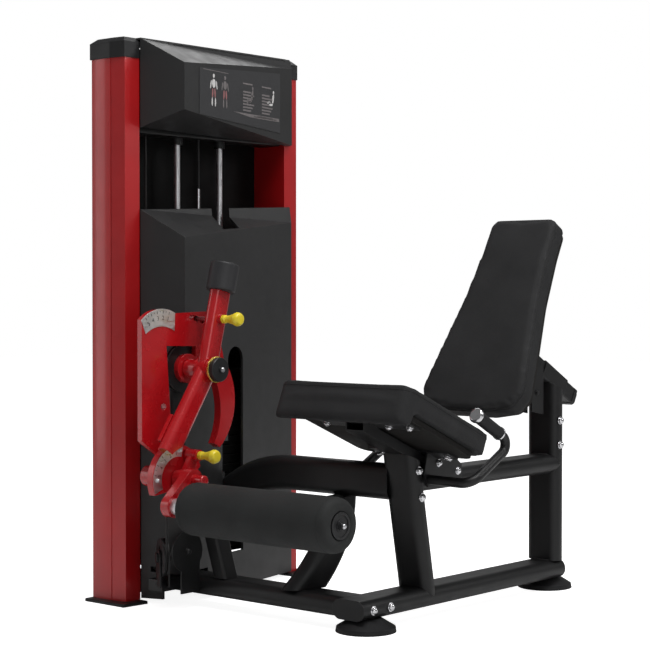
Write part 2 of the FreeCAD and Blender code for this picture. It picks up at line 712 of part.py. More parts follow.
def cam_plate():
    """Horseshoe plate: straight leg, top bridge with the start scale, hub, and the curved rim at the back."""
    x0, x1 = CAM_X
    label_arc = about_pivot([(-165, 128), (-112, 153), (-52, 143)])
    leg = about_pivot([
        (-165, 128), (-165, -178), (-152, -188), (-102, -220), (-84, -205), (-66, -112), (-79, 60),
        (26, 57), (26, 20), (60, -10), (130, 18), (112, 90), (68, 147), (-52, 143),
    ])
    edges = [line_x(x0, leg[i], leg[i + 1]) for i in range(len(leg) - 1)]
    edges.append(arc_x(x0, label_arc[2], label_arc[1], label_arc[0]))
    plate = Part.Face(Part.Wire(edges)).extrude(V(x1 - x0, 0, 0))
    hub = rod_x(CAM_X, PIVOT_Y, PIVOT_Z, 38)

    outer = about_pivot([(130, 18), (169, -90), (112, -212)])
    inner = about_pivot([(92, -200), (114, -90), (62, 12)])
    rim_x0 = 162.5
    rim_edges = [
        arc_x(rim_x0, *outer), line_x(rim_x0, outer[2], inner[0]),
        arc_x(rim_x0, *inner), line_x(rim_x0, inner[2], outer[0]),
    ]
    rim = Part.Face(Part.Wire(rim_edges)).extrude(V(CAM_X[1] + 2 - rim_x0, 0, 0))
    rim = rim.cut(rod_x((rim_x0 - 1, DRUM_X[1]), PIVOT_Y, PIVOT_Z, DRUM_RADIUS + 4))
    body = plate.fuse([hub, rim])

    bore = rod_x((x0 - 20, x1 + 20), PIVOT_Y, PIVOT_Z, SHAFT_RADIUS + RUNNING_GAP)
    tip = 90.0 - ARM_LEAN_UP
    track = arc_slot((x1 - 6, x1 + 1), (PIVOT_Y, PIVOT_Z), START_PIN_REACH, PIN_RADIUS + 0.8, tip - 43, tip + 10)
    stops = [rod_x((x0 + 3, x1), *polar(tip - 10 * i, START_PIN_REACH), PIN_RADIUS + 0.8) for i in range(5)]
    light_hole = rod_x((x0 - 1, x1 + 1), *about_pivot([(-90, -95)])[0], 9)
    return body.cut([bore, track, light_hole] + stops)


def start_scale():
    """Curved scale plate on the cam's upper corner, with five raised marks."""
    x = CAM_X[1]
    outer = about_pivot([(-167, 127), (-112, 154), (-50, 144)])
    inner = about_pivot([(-52, 98), (-104, 110), (-152, 92)])
    edges = [
        arc_x(x, *outer), line_x(x, outer[2], inner[0]), arc_x(x, *inner), line_x(x, inner[2], outer[0])
    ]
    return Part.Face(Part.Wire(edges)).extrude(V(1.6, 0, 0))


def build_cam():
    x0, x1 = POST_HEAD_X
    foot_line = [(246, 148, 44), (205, 122, 250), (124, PIVOT_Y, 385), (122, PIVOT_Y, 612)]
    post = bent_tube(foot_line, [80, 90], (1, 0, 0), 46, 48, 8, TUBE_WALL)
    post = post.cut(box((100, 400), (0, 300), (-50, BEAM_TOP)))
    head = rod_x(POST_HEAD_X, PIVOT_Y, PIVOT_Z, 31)
    post = post.cut(rod_x((x0 - 30, x1 + 30), PIVOT_Y, PIVOT_Z, 30)).fuse(head)
    save("pivot_post", post.cut(rod_x((x0 - 1, x1 + 1), PIVOT_Y, PIVOT_Z, SHAFT_RADIUS)))

    shaft = rod_x((x0 - 4, 283), PIVOT_Y, PIVOT_Z, SHAFT_RADIUS)
    shaft = shaft.fuse(rod_x((x0 - 10, x0), PIVOT_Y, PIVOT_Z, 24))
    shaft = shaft.makeChamfer(1.5, [e for e in shaft.Edges if e.CenterOfMass.x > 282])
    save("pivot_shaft", shaft)

    drum = rod_x(DRUM_X, PIVOT_Y, PIVOT_Z, DRUM_RADIUS)
    middle = V(sum(DRUM_X) / 2, PIVOT_Y, PIVOT_Z)
    groove = 2 * CABLE_RADIUS
    mouth_x = (middle.x - CABLE_RADIUS - CABLE_GAP, middle.x + CABLE_RADIUS + CABLE_GAP)
    drum = drum.cut(ring_x(mouth_x, PIVOT_Y, PIVOT_Z, DRUM_RADIUS + 1, DRUM_PITCH))
    drum = drum.cut(Part.makeTorus(DRUM_PITCH, groove / 2, middle, X_AXIS))
    drum = drum.cut(rod_x(DRUM_X, PIVOT_Y, PIVOT_Z, SHAFT_RADIUS + RUNNING_GAP))
    wound_turn = Part.makeTorus(DRUM_PITCH, CABLE_RADIUS - 0.05, middle, X_AXIS)
    save("cable_drum", drum, wound_turn)
    save("cam_plate", cam_plate())
    save("start_scale", start_scale())


# ---------------------------------------------------------------- swing arm


def build_arm():
    middle_x = sum(ARM_X) / 2
    depth = ARM_X[1] - ARM_X[0]
    up = polar(90 - ARM_LEAN_UP, ARM_TOP)
    down = polar(270 - ARM_LEAN_DOWN, 250)
    pivot = (middle_x, PIVOT_Y, PIVOT_Z)
    upper = tube(pivot, (middle_x, *up), (0, 1, 0), ARM_WIDTH, depth, depth / 2 - 0.5, TUBE_WALL)
    lower = tube(pivot, (middle_x, *down), (0, 1, 0), ARM_WIDTH, depth, depth / 2 - 0.5, TUBE_WALL)
    knuckle = rod_x(ARM_X, PIVOT_Y, PIVOT_Z, ARM_WIDTH / 2 + 2)
    hub = rod_x((187, 285), PIVOT_Y, PIVOT_Z, 25)
    lower = lower.cut(rod_x((200, 300), LEVER_Y, LEVER_Z, SCALE_RADII[1] + 0.5))
    pin_y, pin_z = polar(90 - ARM_LEAN_UP, START_PIN_REACH)
    barrel = rod_x((222, 276), pin_y, pin_z, 12)
    arm = upper.fuse([lower, knuckle, hub, barrel])
    arm = arm.cut(rod_x((180, 300), PIVOT_Y, PIVOT_Z, SHAFT_RADIUS + RUNNING_GAP))
    save("swing_arm", arm.cut(rod_x((180, 300), pin_y, pin_z, PIN_RADIUS + RUNNING_GAP)))

    direction = V(0, up[0] - PIVOT_Y, up[1] - PIVOT_Z).normalize()
    weight = Part.makeCylinder(38, WEIGHT_HEIGHT, V(middle_x, *up), direction)
    rims = [e for e in weight.Edges if e.Length > 200 and e.isClosed()]
    save("arm_weight", weight.makeFillet(5, rims))

    cap = rod_x((285, 300), PIVOT_Y, PIVOT_Z, 31)
    cap = cap.makeChamfer(2, [e for e in cap.Edges if abs(e.CenterOfMass.x - 300) < 0.1])
    save("hub_cap", cap.fuse(dome_bolt((300, PIVOT_Y, PIVOT_Z), (1, 0, 0), 6)))

    save("start_pin", pull_pin(179.0, 276.0, pin_y, pin_z))

    sector = sector_body()
    save("lever_sector", sector)
    save("lever_scale", *scale_plate())


def pull_pin(tip, seat, y, z):
    """Spring plunger with a waisted two-part knob."""
    x0 = seat + 0.4
    profile = [
        (tip, 0), (tip, PIN_RADIUS), (x0, PIN_RADIUS), (x0, 9), (x0 + 14, 9), (x0 + 22, 8),
        (x0 + 32, 12.5), (x0 + 40, 17), (x0 + 52, 19), (x0 + 60, 15), (x0 + 63, 8), (x0 + 63, 0),
    ]
    outline = Part.makePolygon([V(x, y, z + r) for x, r in profile + profile[:1]])
    return Part.Face(outline).revolve(V(0, y, z), X_AXIS, 360)


def sector_body():
    """Quarter plate that carries the lever scale, with its lap under the arm, boss and fixed pin."""
    low, high = 18.0, 205.0
    steps = 12
    points = []
    for i in range(steps + 1):
        a = math.radians(low + (high - low) * i / steps)
        points.append((LEVER_Y + 88 * math.cos(a), LEVER_Z + 88 * math.sin(a)))
    plate = plate_x(points + [(LEVER_Y - 20, LEVER_Z - 30), (LEVER_Y + 20, LEVER_Z - 30)], SECTOR_X)
    plate = plate.common(rod_x(SECTOR_X, LEVER_Y, LEVER_Z, SCALE_RADII[1] + 2))
    lap_low = polar(270 - ARM_LEAN_DOWN, 226)
    lap_high = polar(270 - ARM_LEAN_DOWN, 150)
    lap = tube(
        (SECTOR_X[1] - 6, *lap_high), (SECTOR_X[1] - 6, *lap_low), (0, 1, 0), 50, 12, 1, 0
    )
    boss = rod_x((120, SECTOR_X[0]), LEVER_Y, LEVER_Z, 27)
    boss = boss.makeFillet(4, [e for e in boss.Edges if abs(e.CenterOfMass.x - 120) < 0.1])
    pin = rod_x((SECTOR_X[0] - 5, 322), LEVER_Y, LEVER_Z, 9)
    angle = math.degrees(math.atan2(LEVER_PIN_Z - LEVER_Z, LEVER_PIN_Y - LEVER_Y))
    radius = math.hypot(LEVER_PIN_Z - LEVER_Z, LEVER_PIN_Y - LEVER_Y)
    track = arc_slot((SECTOR_X[1] - 6, SECTOR_X[1] + 1), (LEVER_Y, LEVER_Z), radius, 6.8, angle - 32, angle + 9)
    return plate.fuse([lap, boss, pin]).cut(track)


def scale_plate():
    """Curved number plate of the pad lever and the two screws that hold it."""
    x = (SECTOR_X[1], SECTOR_X[1] + 1.6)
    inner, outer = SCALE_RADII
    ring = ring_x(x, LEVER_Y, LEVER_Z, outer, inner)
    low, high = 77.0, 203.0
    steps = 8
    fan = [(LEVER_Y, LEVER_Z)]
    for i in range(steps + 1):
        a = math.radians(low + (high - low) * i / steps)
        fan.append((LEVER_Y + 130 * math.cos(a), LEVER_Z + 130 * math.sin(a)))
    plate = ring.common(plate_x(fan, x))
    middle = (inner + outer) / 2
    screws = []
    for angle in (84.0, 180.0):
        a = math.radians(angle)
        spot = (x[1], LEVER_Y + middle * math.cos(a), LEVER_Z + middle * math.sin(a))
        screws.append(dome_bolt(spot, (1, 0, 0), 5))
    return [plate] + screws


# ---------------------------------------------------------------- pad lever and roller


def build_lever():
    hub = rod_x((235, 331), LEVER_Y, LEVER_Z, 14.5)
    hub = hub.makeFillet(5, [e for e in hub.Edges if abs(e.CenterOfMass.x - 331) < 0.1])
    collar = rod_x((235, LEVER_BAR_X[1]), LEVER_Y, LEVER_Z, 24)
    reach = V(0, ROLLER_Y - LEVER_Y, ROLLER_Z - LEVER_Z)
    bar = rectangle_face(reach.Length + 56, 56, 27.5).extrude(V(0, 0, LEVER_BAR_X[1] - LEVER_BAR_X[0]))
    middle = (LEVER_BAR_X[0], (ROLLER_Y + LEVER_Y) / 2, (ROLLER_Z + LEVER_Z) / 2)
    bar = stand(bar, middle, tuple(reach.normalize()), (1, 0, 0))
    web = plate_x(
        [(LEVER_Y - 15, LEVER_Z), (LEVER_Y + 22, LEVER_Z - 8), (LEVER_PIN_Y + 13, LEVER_PIN_Z),
         (LEVER_PIN_Y - 13, LEVER_PIN_Z)],
        (246, 260),
    )
    barrel = rod_x((235, 276), LEVER_PIN_Y, LEVER_PIN_Z, 14.5)
    body = hub.fuse([collar, bar, web, barrel])
    cuts = [
        rod_x((230, 322.5), LEVER_Y, LEVER_Z, 9 + RUNNING_GAP),
        rod_x((230, 290), LEVER_PIN_Y, LEVER_PIN_Z, PIN_RADIUS + RUNNING_GAP),
        rod_x(LEVER_BAR_X, ROLLER_Y, ROLLER_Z, 12),
    ]
    save("pad_lever", body.cut(cuts))
    save("lever_pin", pull_pin(227.0, 276.0, LEVER_PIN_Y, LEVER_PIN_Z))

    x0, x1 = ROLLER_X
    axle = rod_x((LEVER_BAR_X[0], x1 - 12), ROLLER_Y, ROLLER_Z, 12)
    axle = axle.fuse(rod_x((LEVER_BAR_X[1], x0 - 3), ROLLER_Y, ROLLER_Z, 20))
    save("roller_axle", axle)
    core = ring_x((x0, x1 - 10), ROLLER_Y, ROLLER_Z, 28, 12 + RUNNING_GAP)
    save("roller_core", core)
    foam = rod_x(ROLLER_X, ROLLER_Y, ROLLER_Z, ROLLER_RADIUS)
    foam = foam.makeFillet(19, [e for e in foam.Edges if e.Length > 400 and e.isClosed()])
    foam = foam.cut(rod_x((x0 - 1, x1 + 1), ROLLER_Y, ROLLER_Z, 28))
    foam = foam.cut(rod_x((x1 - 8, x1 + 1), ROLLER_Y, ROLLER_Z, 34))
    save("roller_pad", foam)
    cap = rod_x((x1 - 8, x1 - 2), ROLLER_Y, ROLLER_Z, 32)
    cap = cap.cut(ring_x((x1 - 4, x1), ROLLER_Y, ROLLER_Z, 26, 14))
    save("roller_cap", cap.fuse(dome_bolt((x1 - 2, ROLLER_Y, ROLLER_Z), (1, 0, 0), 8)))


# ---------------------------------------------------------------- floor frame


def front_post_y(z):
    """Centre of the leaning front post at a given height."""
    return FRONT_POST_LOW_Y - FRONT_POST_LEAN * (z - BEAM_TOP)


def front_post(low, high, wall):
    """Leaning post between two heights; with no wall it is the solid that copes the tubes meeting it."""
    return tube(
        (BASE_BEAM_X, front_post_y(low), low), (BASE_BEAM_X, front_post_y(high), high),
        (1, 0, 0), BEAM_WIDE, BEAM_HIGH, TUBE_CORNER, wall,
    )


def rear_post(high, wall):
    return tube(
        (BASE_BEAM_X, REAR_POST_Y, BEAM_TOP), (BASE_BEAM_X, REAR_POST_Y, high),
        (1, 0, 0), BEAM_WIDE, BEAM_HIGH, TUBE_CORNER, wall,
    )


def seat_underside(y):
    """Height of the seat board's underside at a given Y."""
    tilt = math.radians(SEAT_TILT)
    thick = SEAT_PAD + SEAT_BOARD
    y0 = SEAT_FRONT[0] - thick * math.sin(tilt)
    z0 = SEAT_FRONT[1] - thick * math.cos(tilt)
    return z0 - (y - y0) * math.tan(tilt)


def rail_slab(top_drop, bottom_drop, y, x):
    """Block under the seat between two planes parallel to its underside."""
    corners = [
        (y[0], seat_underside(y[0]) - top_drop), (y[1], seat_underside(y[1]) - top_drop),
        (y[1], seat_underside(y[1]) - bottom_drop), (y[0], seat_underside(y[0]) - bottom_drop),
    ]
    return plate_x(corners, x)


def curved_brace(wall):
    """Bowed tube between the main beam and the upper tube, drawn past both and trimmed."""
    foot = V(BRACE_X, MAIN_BEAM_Y, BEAM_TOP)
    head = V(BRACE_X, UPPER_TUBE_Y - 12, UPPER_TUBE_Z - UPPER_TUBE_HIGH / 2)
    tilt = (head - foot).normalize()
    belly = (foot + head) * 0.5 + X_AXIS * BRACE_BULGE
    chord = foot.distanceToPoint(head)
    radius = ((chord / 2) ** 2 + BRACE_BULGE**2) / (2 * BRACE_BULGE)
    swing = math.asin(chord / 2 / radius)
    low_way = (tilt * math.cos(swing) + X_AXIS * math.sin(swing)).normalize()
    high_way = (tilt * math.cos(swing) - X_AXIS * math.sin(swing)).normalize()
    start = foot - low_way * 60
    path = Part.Wire([
        Part.LineSegment(start, foot).toShape(),
        Part.Arc(foot, belly, head).toShape(),
        Part.LineSegment(head, head + high_way * 60).toShape(),
    ])
    across = tuple(X_AXIS.cross(tilt))
    wide = BEAM_WIDE - 2 * wall
    thick = BEAM_HIGH - 2 * wall
    face = stand(rectangle_face(wide, thick, TUBE_CORNER - wall), tuple(start), across, tuple(low_way))
    return swept(path, face)


def build_frame():
    middle = BEAM_BOTTOM + BEAM_HIGH / 2
    main = tube(
        (-24, MAIN_BEAM_Y, middle), (BASE_BEAM_X - 50, MAIN_BEAM_Y, middle),
        (0, 1, 0), BEAM_WIDE, BEAM_HIGH, TUBE_CORNER, TUBE_WALL,
    )
    base_line = ((BASE_BEAM_X, 102, middle), (BASE_BEAM_X, 980, middle))
    base_solid = tube(*base_line, (1, 0, 0), BEAM_WIDE, BEAM_HIGH, TUBE_CORNER, 0)
    reach = tube(
        (BASE_BEAM_X - 50, MAIN_BEAM_Y, middle), (BASE_BEAM_X - 10, MAIN_BEAM_Y, middle),
        (0, 1, 0), BEAM_WIDE, BEAM_HIGH, TUBE_CORNER, TUBE_WALL,
    )
    save("main_beam", main.fuse(reach).cut(base_solid).removeSplitter())
    base = tube((BASE_BEAM_X, 105, middle), (BASE_BEAM_X, 977, middle), (1, 0, 0), 100, 50, TUBE_CORNER, TUBE_WALL)
    lids = [
        tube((BASE_BEAM_X, y, middle), (BASE_BEAM_X, y + 3, middle), (1, 0, 0), 100, 50, TUBE_CORNER, 0)
        for y in (102, 977)
    ]
    save("base_beam", base.fuse(lids))

    post = front_post(60, 470, TUBE_WALL).cut(base_solid)
    save("front_post", post.cut([rail_slab(-300, RAIL_DROP, (200, 480), (600, 800)), rail_way()]))
    rear = rear_post(660, TUBE_WALL)
    save("rear_post", rear.cut(above_sleeve()))

    path = [
        (BASE_BEAM_X - 30, UPPER_TUBE_Y, UPPER_TUBE_Z), (190, UPPER_TUBE_Y, UPPER_TUBE_Z), (8, UPPER_TUBE_Y, 212)
    ]
    upper = bent_tube(path, [380], (0, 1, 0), 50, UPPER_TUBE_HIGH, TUBE_CORNER - 0.5, TUBE_WALL)
    tower_end = box((-80, 48), (200, 420), (100, 420))
    cheek_way = box((BASE_BEAM_X - 55.5, BASE_BEAM_X), (331.5, 400), (300, 420))
    upper = upper.cut([front_post(200, 470, 0), tower_end, cheek_way])
    strut = tube((28, UPPER_TUBE_Y, 20), (28, UPPER_TUBE_Y, 330), (1, 0, 0), 40, 50, 6, TUBE_WALL)
    sill = tube((-24, UPPER_TUBE_Y, 45), (8, UPPER_TUBE_Y, 45), (0, 1, 0), 50, 50, 5, TUBE_WALL)
    save("upper_tube", upper, strut.fuse(sill))

    trims = [
        box((300, 800), (0, 600), (-60, BEAM_TOP)),
        box((300, 800), (0, 600), (UPPER_TUBE_Z - UPPER_TUBE_HIGH / 2, 520)),
    ]
    brace = curved_brace(0).cut(curved_brace(TUBE_WALL)).cut(trims)
    rail = tube(
        (BASE_BEAM_X, front_post_y(RAIL_Z), RAIL_Z), (BASE_BEAM_X, REAR_POST_Y, RAIL_Z),
        (1, 0, 0), BEAM_WIDE, BEAM_HIGH, TUBE_CORNER, TUBE_WALL,
    )
    save("frame_braces", brace, rail.cut([front_post(200, 470, 0), rear_post(660, 0)]))

    feet = []
    for x, y in ((700, 158), (675, 975)):
        pad = Part.makeCone(FOOT_RADIUS, FOOT_RADIUS - 2, 12, V(x, y, 0))
        dome = Part.makeCone(FOOT_RADIUS - 2, 40, BEAM_BOTTOM - 12, V(x, y, 12))
        feet.append(pad.fuse(dome))
    save("rubber_feet", *feet)


# ---------------------------------------------------------------- seat


def lay_seat(shape):
    """Carry a shape drawn flat, top at Z 0 and front edge at Y 0, onto the tilted seat."""
    tilt = FreeCAD.Placement(V(SEAT_X, *SEAT_FRONT), FreeCAD.Rotation(X_AXIS, -SEAT_TILT))
    shape.Placement = tilt.multiply(shape.Placement)
    return shape


def rail_way():
    """The seat rail's own outline, used to let it into the front post."""
    half = RAIL_WIDE / 2
    return rail_slab(0, RAIL_DROP, (100, 480), (BASE_BEAM_X - half, BASE_BEAM_X + half))


def build_seat():
    half = SEAT_WIDTH / 2
    length = SEAT_LENGTH
    outline = [(-half, 0), (half, 0), (half - 6, length), (-half + 6, length)]
    pad = rounded_face(outline, [32, 32, 44, 44]).extrude(V(0, 0, -SEAT_PAD))
    lip = rounded_face([(0, 0), (0, -SEAT_LIP), (LIP_LENGTH, -SEAT_LIP), (LIP_LENGTH, 0)], [0, 18, 20, 0])
    lip = stand(lip.extrude(V(0, 0, SEAT_WIDTH)), (-half, 0, 0), (0, 1, 0), (1, 0, 0))
    ends = rounded_face(outline, [32, 32, 44, 44]).extrude(V(0, 0, -SEAT_LIP))
    save("seat_pad", lay_seat(pad.fuse(lip.common(ends)).removeSplitter()))
    inset = 24.0
    outline = [
        (-half + inset, LIP_LENGTH + 2), (half - inset, LIP_LENGTH + 2),
        (half - inset - 6, length - inset), (-half + inset + 6, length - inset),
    ]
    board = rounded_face(outline, [12, 12, 34, 34]).extrude(V(0, 0, -SEAT_BOARD))
    board.translate(V(0, 0, -SEAT_PAD))
    save("seat_board", lay_seat(board))

    mid = BASE_BEAM_X
    half = RAIL_WIDE / 2
    rail = rail_slab(6, RAIL_DROP, (128, 418), (mid - half, mid + half))
    rail = rail.cut(rail_slab(10, RAIL_DROP - 4, (120, 425), (mid - half + 4, mid + half - 4)))
    front_bar = rail_slab(0, 6, (136, 178), (SEAT_X - 122, SEAT_X + 172))
    rear_bar = rail_slab(0, 6, (340, 382), (SEAT_X - 122, SEAT_X + 132))
    cheek_outline = [
        (345, 424), (386, 408), (412, 408), (440, 421), (488, 386), (490, 354), (472, 338), (348, 338), (332, 372)
    ]
    cheeks = [plate_x(cheek_outline, (x, x + 5)) for x in (mid - 55, mid + 50)]
    ties = [rail_slab(12, 26, (352, 400), x) for x in ((mid - 50, mid - half), (mid + half, mid + 50))]
    rail_tube = tube(
        (mid, 300, RAIL_Z), (mid, 600, RAIL_Z), (1, 0, 0), BEAM_WIDE, BEAM_HIGH, TUBE_CORNER, 0
    )
    mount = rail.fuse([front_bar, rear_bar] + cheeks + ties)
    save("seat_mount", mount.cut([rail_tube, front_post(200, 470, 0).cut(rail_way())]))


# ---------------------------------------------------------------- backrest


def lay_back(shape):
    """Carry a shape drawn with its front at Z 0 and its bottom at Y 0 onto the leaning backrest."""
    lean = FreeCAD.Placement(V(BACK_X, *BACK_FRONT), FreeCAD.Rotation(X_AXIS, 90 - BACK_LEAN))
    shape.Placement = lean.multiply(shape.Placement)
    return shape


def back_outline(inset):
    """Waisted outline, wide and gently rounded at the foot, narrow at the head."""
    k = inset
    length = BACK_LENGTH
    right = [(60, k), (143 - k, 14 + k), (164 - k, 60), (149 - k, 160), (120 - k, 335), (108 - k, 480),
             (106 - k, length - k)]
    left = [(-x, y) for x, y in reversed(right)]
    radii = [60, 26, 30, 300, 500, 300, 26]
    return rounded_face(right + left, radii + radii[::-1])


def bar_frame():
    """Origin and direction of the backrest's sliding bar."""
    fall = math.radians(BAR_FALL)
    return V(BACK_X, *BAR_CENTRE), V(0, math.cos(fall), -math.sin(fall))


def along_bar(face, start, end):
    """Extrude a face along the sliding bar between two stations."""
    origin, direction = bar_frame()
    solid = face.extrude(V(0, 0, end - start))
    return stand(solid, tuple(origin + direction * start), (1, 0, 0), tuple(direction))


def above_sleeve():
    """Everything above the underside of the sleeve, used to trim the rear post."""
    origin, direction = bar_frame()
    slab = Part.makeBox(400, 400, 800, V(-200, -400 + SLEEVE_SIDE / 2, -400))
    return stand(slab, tuple(origin), (1, 0, 0), tuple(direction))


def build_back():
    pad = back_outline(0).extrude(V(0, 0, -BACK_PAD))
    save("back_pad", lay_back(pad))
    board = back_outline(10).extrude(V(0, 0, -BACK_BOARD))
    board.translate(V(0, 0, -BACK_PAD))
    save("back_board", lay_back(board))

    bore = BAR_SIDE + 0.8
    sleeve = along_bar(rectangle_face(SLEEVE_SIDE, SLEEVE_SIDE, 7), -SLEEVE_HALF, SLEEVE_HALF)
    sleeve = sleeve.cut(along_bar(rectangle_face(bore, bore, 4), -SLEEVE_HALF, SLEEVE_HALF))
    half = SLEEVE_SIDE / 2
    for side in (-1, 1):
        x0 = BACK_X + side * half
        plate = plate_x([(846, 645), (902, 616), (902, 490), (846, 500)], (x0 - 2, x0 + 2))
        bolt = dome_bolt((x0 + side * 2, 870, 551), (side, 0, 0), 6)
        sleeve = sleeve.fuse([plate, bolt])
    keep_out = along_bar(rectangle_face(bore, bore, 4), -400, 400)
    save("back_sleeve", sleeve.cut([keep_out, rear_post(640, 0).cut(above_sleeve())]))

    front = -252.0
    rear = 108.0
    wall = 3.0
    bar = along_bar(rectangle_face(BAR_SIDE, BAR_SIDE, 4), front, rear)
    bar = bar.cut(along_bar(rectangle_face(BAR_SIDE - 2 * wall, BAR_SIDE - 2 * wall, 1), front, rear))
    flange = rounded_face([(-65, 160), (65, 160), (65, 330), (-65, 330)], [10] * 4).extrude(V(0, 0, -6))
    flange.translate(V(0, 0, -BACK_PAD - BACK_BOARD))
    flange = lay_back(flange)
    cap = along_bar(rectangle_face(BAR_SIDE + 3, BAR_SIDE + 3, 8), rear, rear + 12)
    cap = cap.fuse(along_bar(rectangle_face(BAR_SIDE - 8, BAR_SIDE - 8, 8), rear + 12, rear + 22))
    behind = lay_back(Part.makeBox(600, 900, 100, V(-300, -100, -BACK_PAD - BACK_BOARD)))
    save("back_bar", bar.cut(behind).fuse(flange))
    save("bar_end_cap", cap)


# ---------------------------------------------------------------- handles and fasteners


def grip_direction():
    return V(0, GRIP_FRONT[0] - GRIP_REAR[0], GRIP_FRONT[1] - GRIP_REAR[1]).normalize()


def mirrored_x(shape):
    """The same piece on the other side of the seat post."""
    return shape.mirror(V(BASE_BEAM_X, 0, 0), X_AXIS)


def build_handles():
    front = V(HANDLE_OUT, *GRIP_FRONT)
    way = grip_direction()
    y, z = HANDLE_START
    path = [
        (BASE_BEAM_X + 55.5, y, z), (HANDLE_OUT, y, z - 2), (HANDLE_OUT, *GRIP_REAR), tuple(front)
    ]
    bar = bent_bar(path, [34, 24], HANDLE_RADIUS)
    save("handle_bars", bar, mirrored_x(bar))
    start = front - way * 98
    grip = Part.makeCylinder(GRIP_RADIUS, 98, start, way).cut(
        Part.makeCylinder(HANDLE_RADIUS, 98, start, way)
    )
    collar = Part.makeCylinder(GRIP_RADIUS + 1.5, 5, start - way * 5, way).cut(
        Part.makeCylinder(HANDLE_RADIUS, 5, start - way * 5, way)
    )
    save("handle_grips", grip, mirrored_x(grip))
    knob = Part.makeCylinder(GRIP_RADIUS + 3.5, 14, front, way)
    knob = knob.makeFillet(6, [e for e in knob.Edges if e.Length > 80])
    save("handle_caps", knob, collar, mirrored_x(knob), mirrored_x(collar))


def build_fasteners():
    side = BASE_BEAM_X + BEAM_WIDE / 2
    spots = [(y, BEAM_BOTTOM + BEAM_HIGH / 2) for y in (138, 204)]
    spots += [(front_post_y(z), z) for z in (381, 314)]
    spots += [(REAR_POST_Y - 4, z) for z in (471, 403.5)]
    bolts = [dome_bolt((side, y, z), (1, 0, 0), 9) for y, z in spots]
    tilt = math.radians(SEAT_TILT)
    down = (0, -math.sin(tilt), -math.cos(tilt))
    drop = 6 / math.cos(tilt)
    for x, y in ((-104, 157), (92, 157), (156, 157), (-104, 361), (114, 361)):
        bolts.append(dome_bolt((SEAT_X + x, y, seat_underside(y) - drop), down, 8))
    for y, z in CHEEK_BOLTS:
        bolts.append(dome_bolt((side + 5, y, z), (1, 0, 0), 8))
        bolts.append(dome_bolt((BASE_BEAM_X * 2 - side - 5, y, z), (-1, 0, 0), 8))
    save("frame_bolts", *bolts)


build_tower()
build_stack()
build_shrouds()
build_cable()
build_cam()
build_arm()
build_lever()
build_frame()
build_seat()
build_back()
build_handles()
build_fasteners()
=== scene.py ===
"""Looks of a leg extension machine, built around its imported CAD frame. Metres, +Z up."""

import bpy
import bmesh
import json
import math
from mathutils import Matrix, Vector
from mathutils.bvhtree import BVHTree


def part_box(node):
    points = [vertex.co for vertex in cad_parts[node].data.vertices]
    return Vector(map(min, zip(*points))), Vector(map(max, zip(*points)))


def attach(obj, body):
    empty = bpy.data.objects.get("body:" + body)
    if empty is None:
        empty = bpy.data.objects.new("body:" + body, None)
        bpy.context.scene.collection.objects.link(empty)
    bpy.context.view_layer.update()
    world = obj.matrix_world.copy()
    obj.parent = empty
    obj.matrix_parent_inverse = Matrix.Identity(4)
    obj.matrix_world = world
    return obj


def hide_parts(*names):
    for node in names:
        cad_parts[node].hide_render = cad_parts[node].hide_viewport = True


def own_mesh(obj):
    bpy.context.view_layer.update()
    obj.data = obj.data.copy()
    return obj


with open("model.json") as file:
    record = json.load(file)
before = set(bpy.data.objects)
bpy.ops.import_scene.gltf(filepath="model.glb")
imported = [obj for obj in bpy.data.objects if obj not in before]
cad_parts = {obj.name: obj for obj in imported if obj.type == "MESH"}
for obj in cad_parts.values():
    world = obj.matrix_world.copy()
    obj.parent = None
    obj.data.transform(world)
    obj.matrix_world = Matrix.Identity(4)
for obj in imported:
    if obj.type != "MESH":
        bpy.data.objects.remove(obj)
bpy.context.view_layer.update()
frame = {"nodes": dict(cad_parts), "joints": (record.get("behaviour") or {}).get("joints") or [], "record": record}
NODES = frame["nodes"]
X_AXIS = Vector((1, 0, 0))
Y_AXIS = Vector((0, 1, 0))
Z_AXIS = Vector((0, 0, 1))
BODIES = frame["record"]["behaviour"]["bodies"]
BODY_OF = {node: body for body, members in BODIES.items() for node in members}
STRAND_REACH = 0.0024
STRAND_TWIST = 260.0
PAD_SHRINK = 0.002
PAD_SWELL = 0.0035
ROLLER_SHRINK = 0.0015
ROLLER_SWELL = 0.003
PIPING_DEPTH = 0.013
BOARD_THICKNESS = 0.012
SCALE_THICKNESS = 0.0016
KNOB_LENGTH = 0.063
PIN_RADIUS = 0.006
JOINT_AT = {j["name"]: Vector(j["pos_m"]) for j in frame["joints"] if "pos_m" in j}


# ---------------------------------------------------------------- node materials


def start_material(name):
    material = bpy.data.materials.new(name)
    material.use_nodes = True
    tree = material.node_tree
    return material, tree, tree.nodes["Principled BSDF"]


def add_node(tree, kind, **inputs):
    node = tree.nodes.new(kind)
    for key, value in inputs.items():
        node.inputs[key.replace("_", " ")].default_value = value
    return node


def noise(tree, scale, detail=3.0, stretch=None):
    """Noise in the row's own metres; stretch scales each axis first."""
    texture = add_node(tree, "ShaderNodeTexNoise", Scale=scale, Detail=detail)
    place = tree.nodes.new("ShaderNodeTexCoord")
    source = place.outputs["Object"]
    if stretch:
        mapping = add_node(tree, "ShaderNodeMapping", Scale=stretch)
        tree.links.new(source, mapping.inputs["Vector"])
        source = mapping.outputs["Vector"]
    tree.links.new(source, texture.inputs["Vector"])
    return texture.outputs["Fac"]


def cells(tree, scale):
    texture = add_node(tree, "ShaderNodeTexVoronoi", Scale=scale)
    place = tree.nodes.new("ShaderNodeTexCoord")
    tree.links.new(place.outputs["Object"], texture.inputs["Vector"])
    return texture.outputs["Distance"]


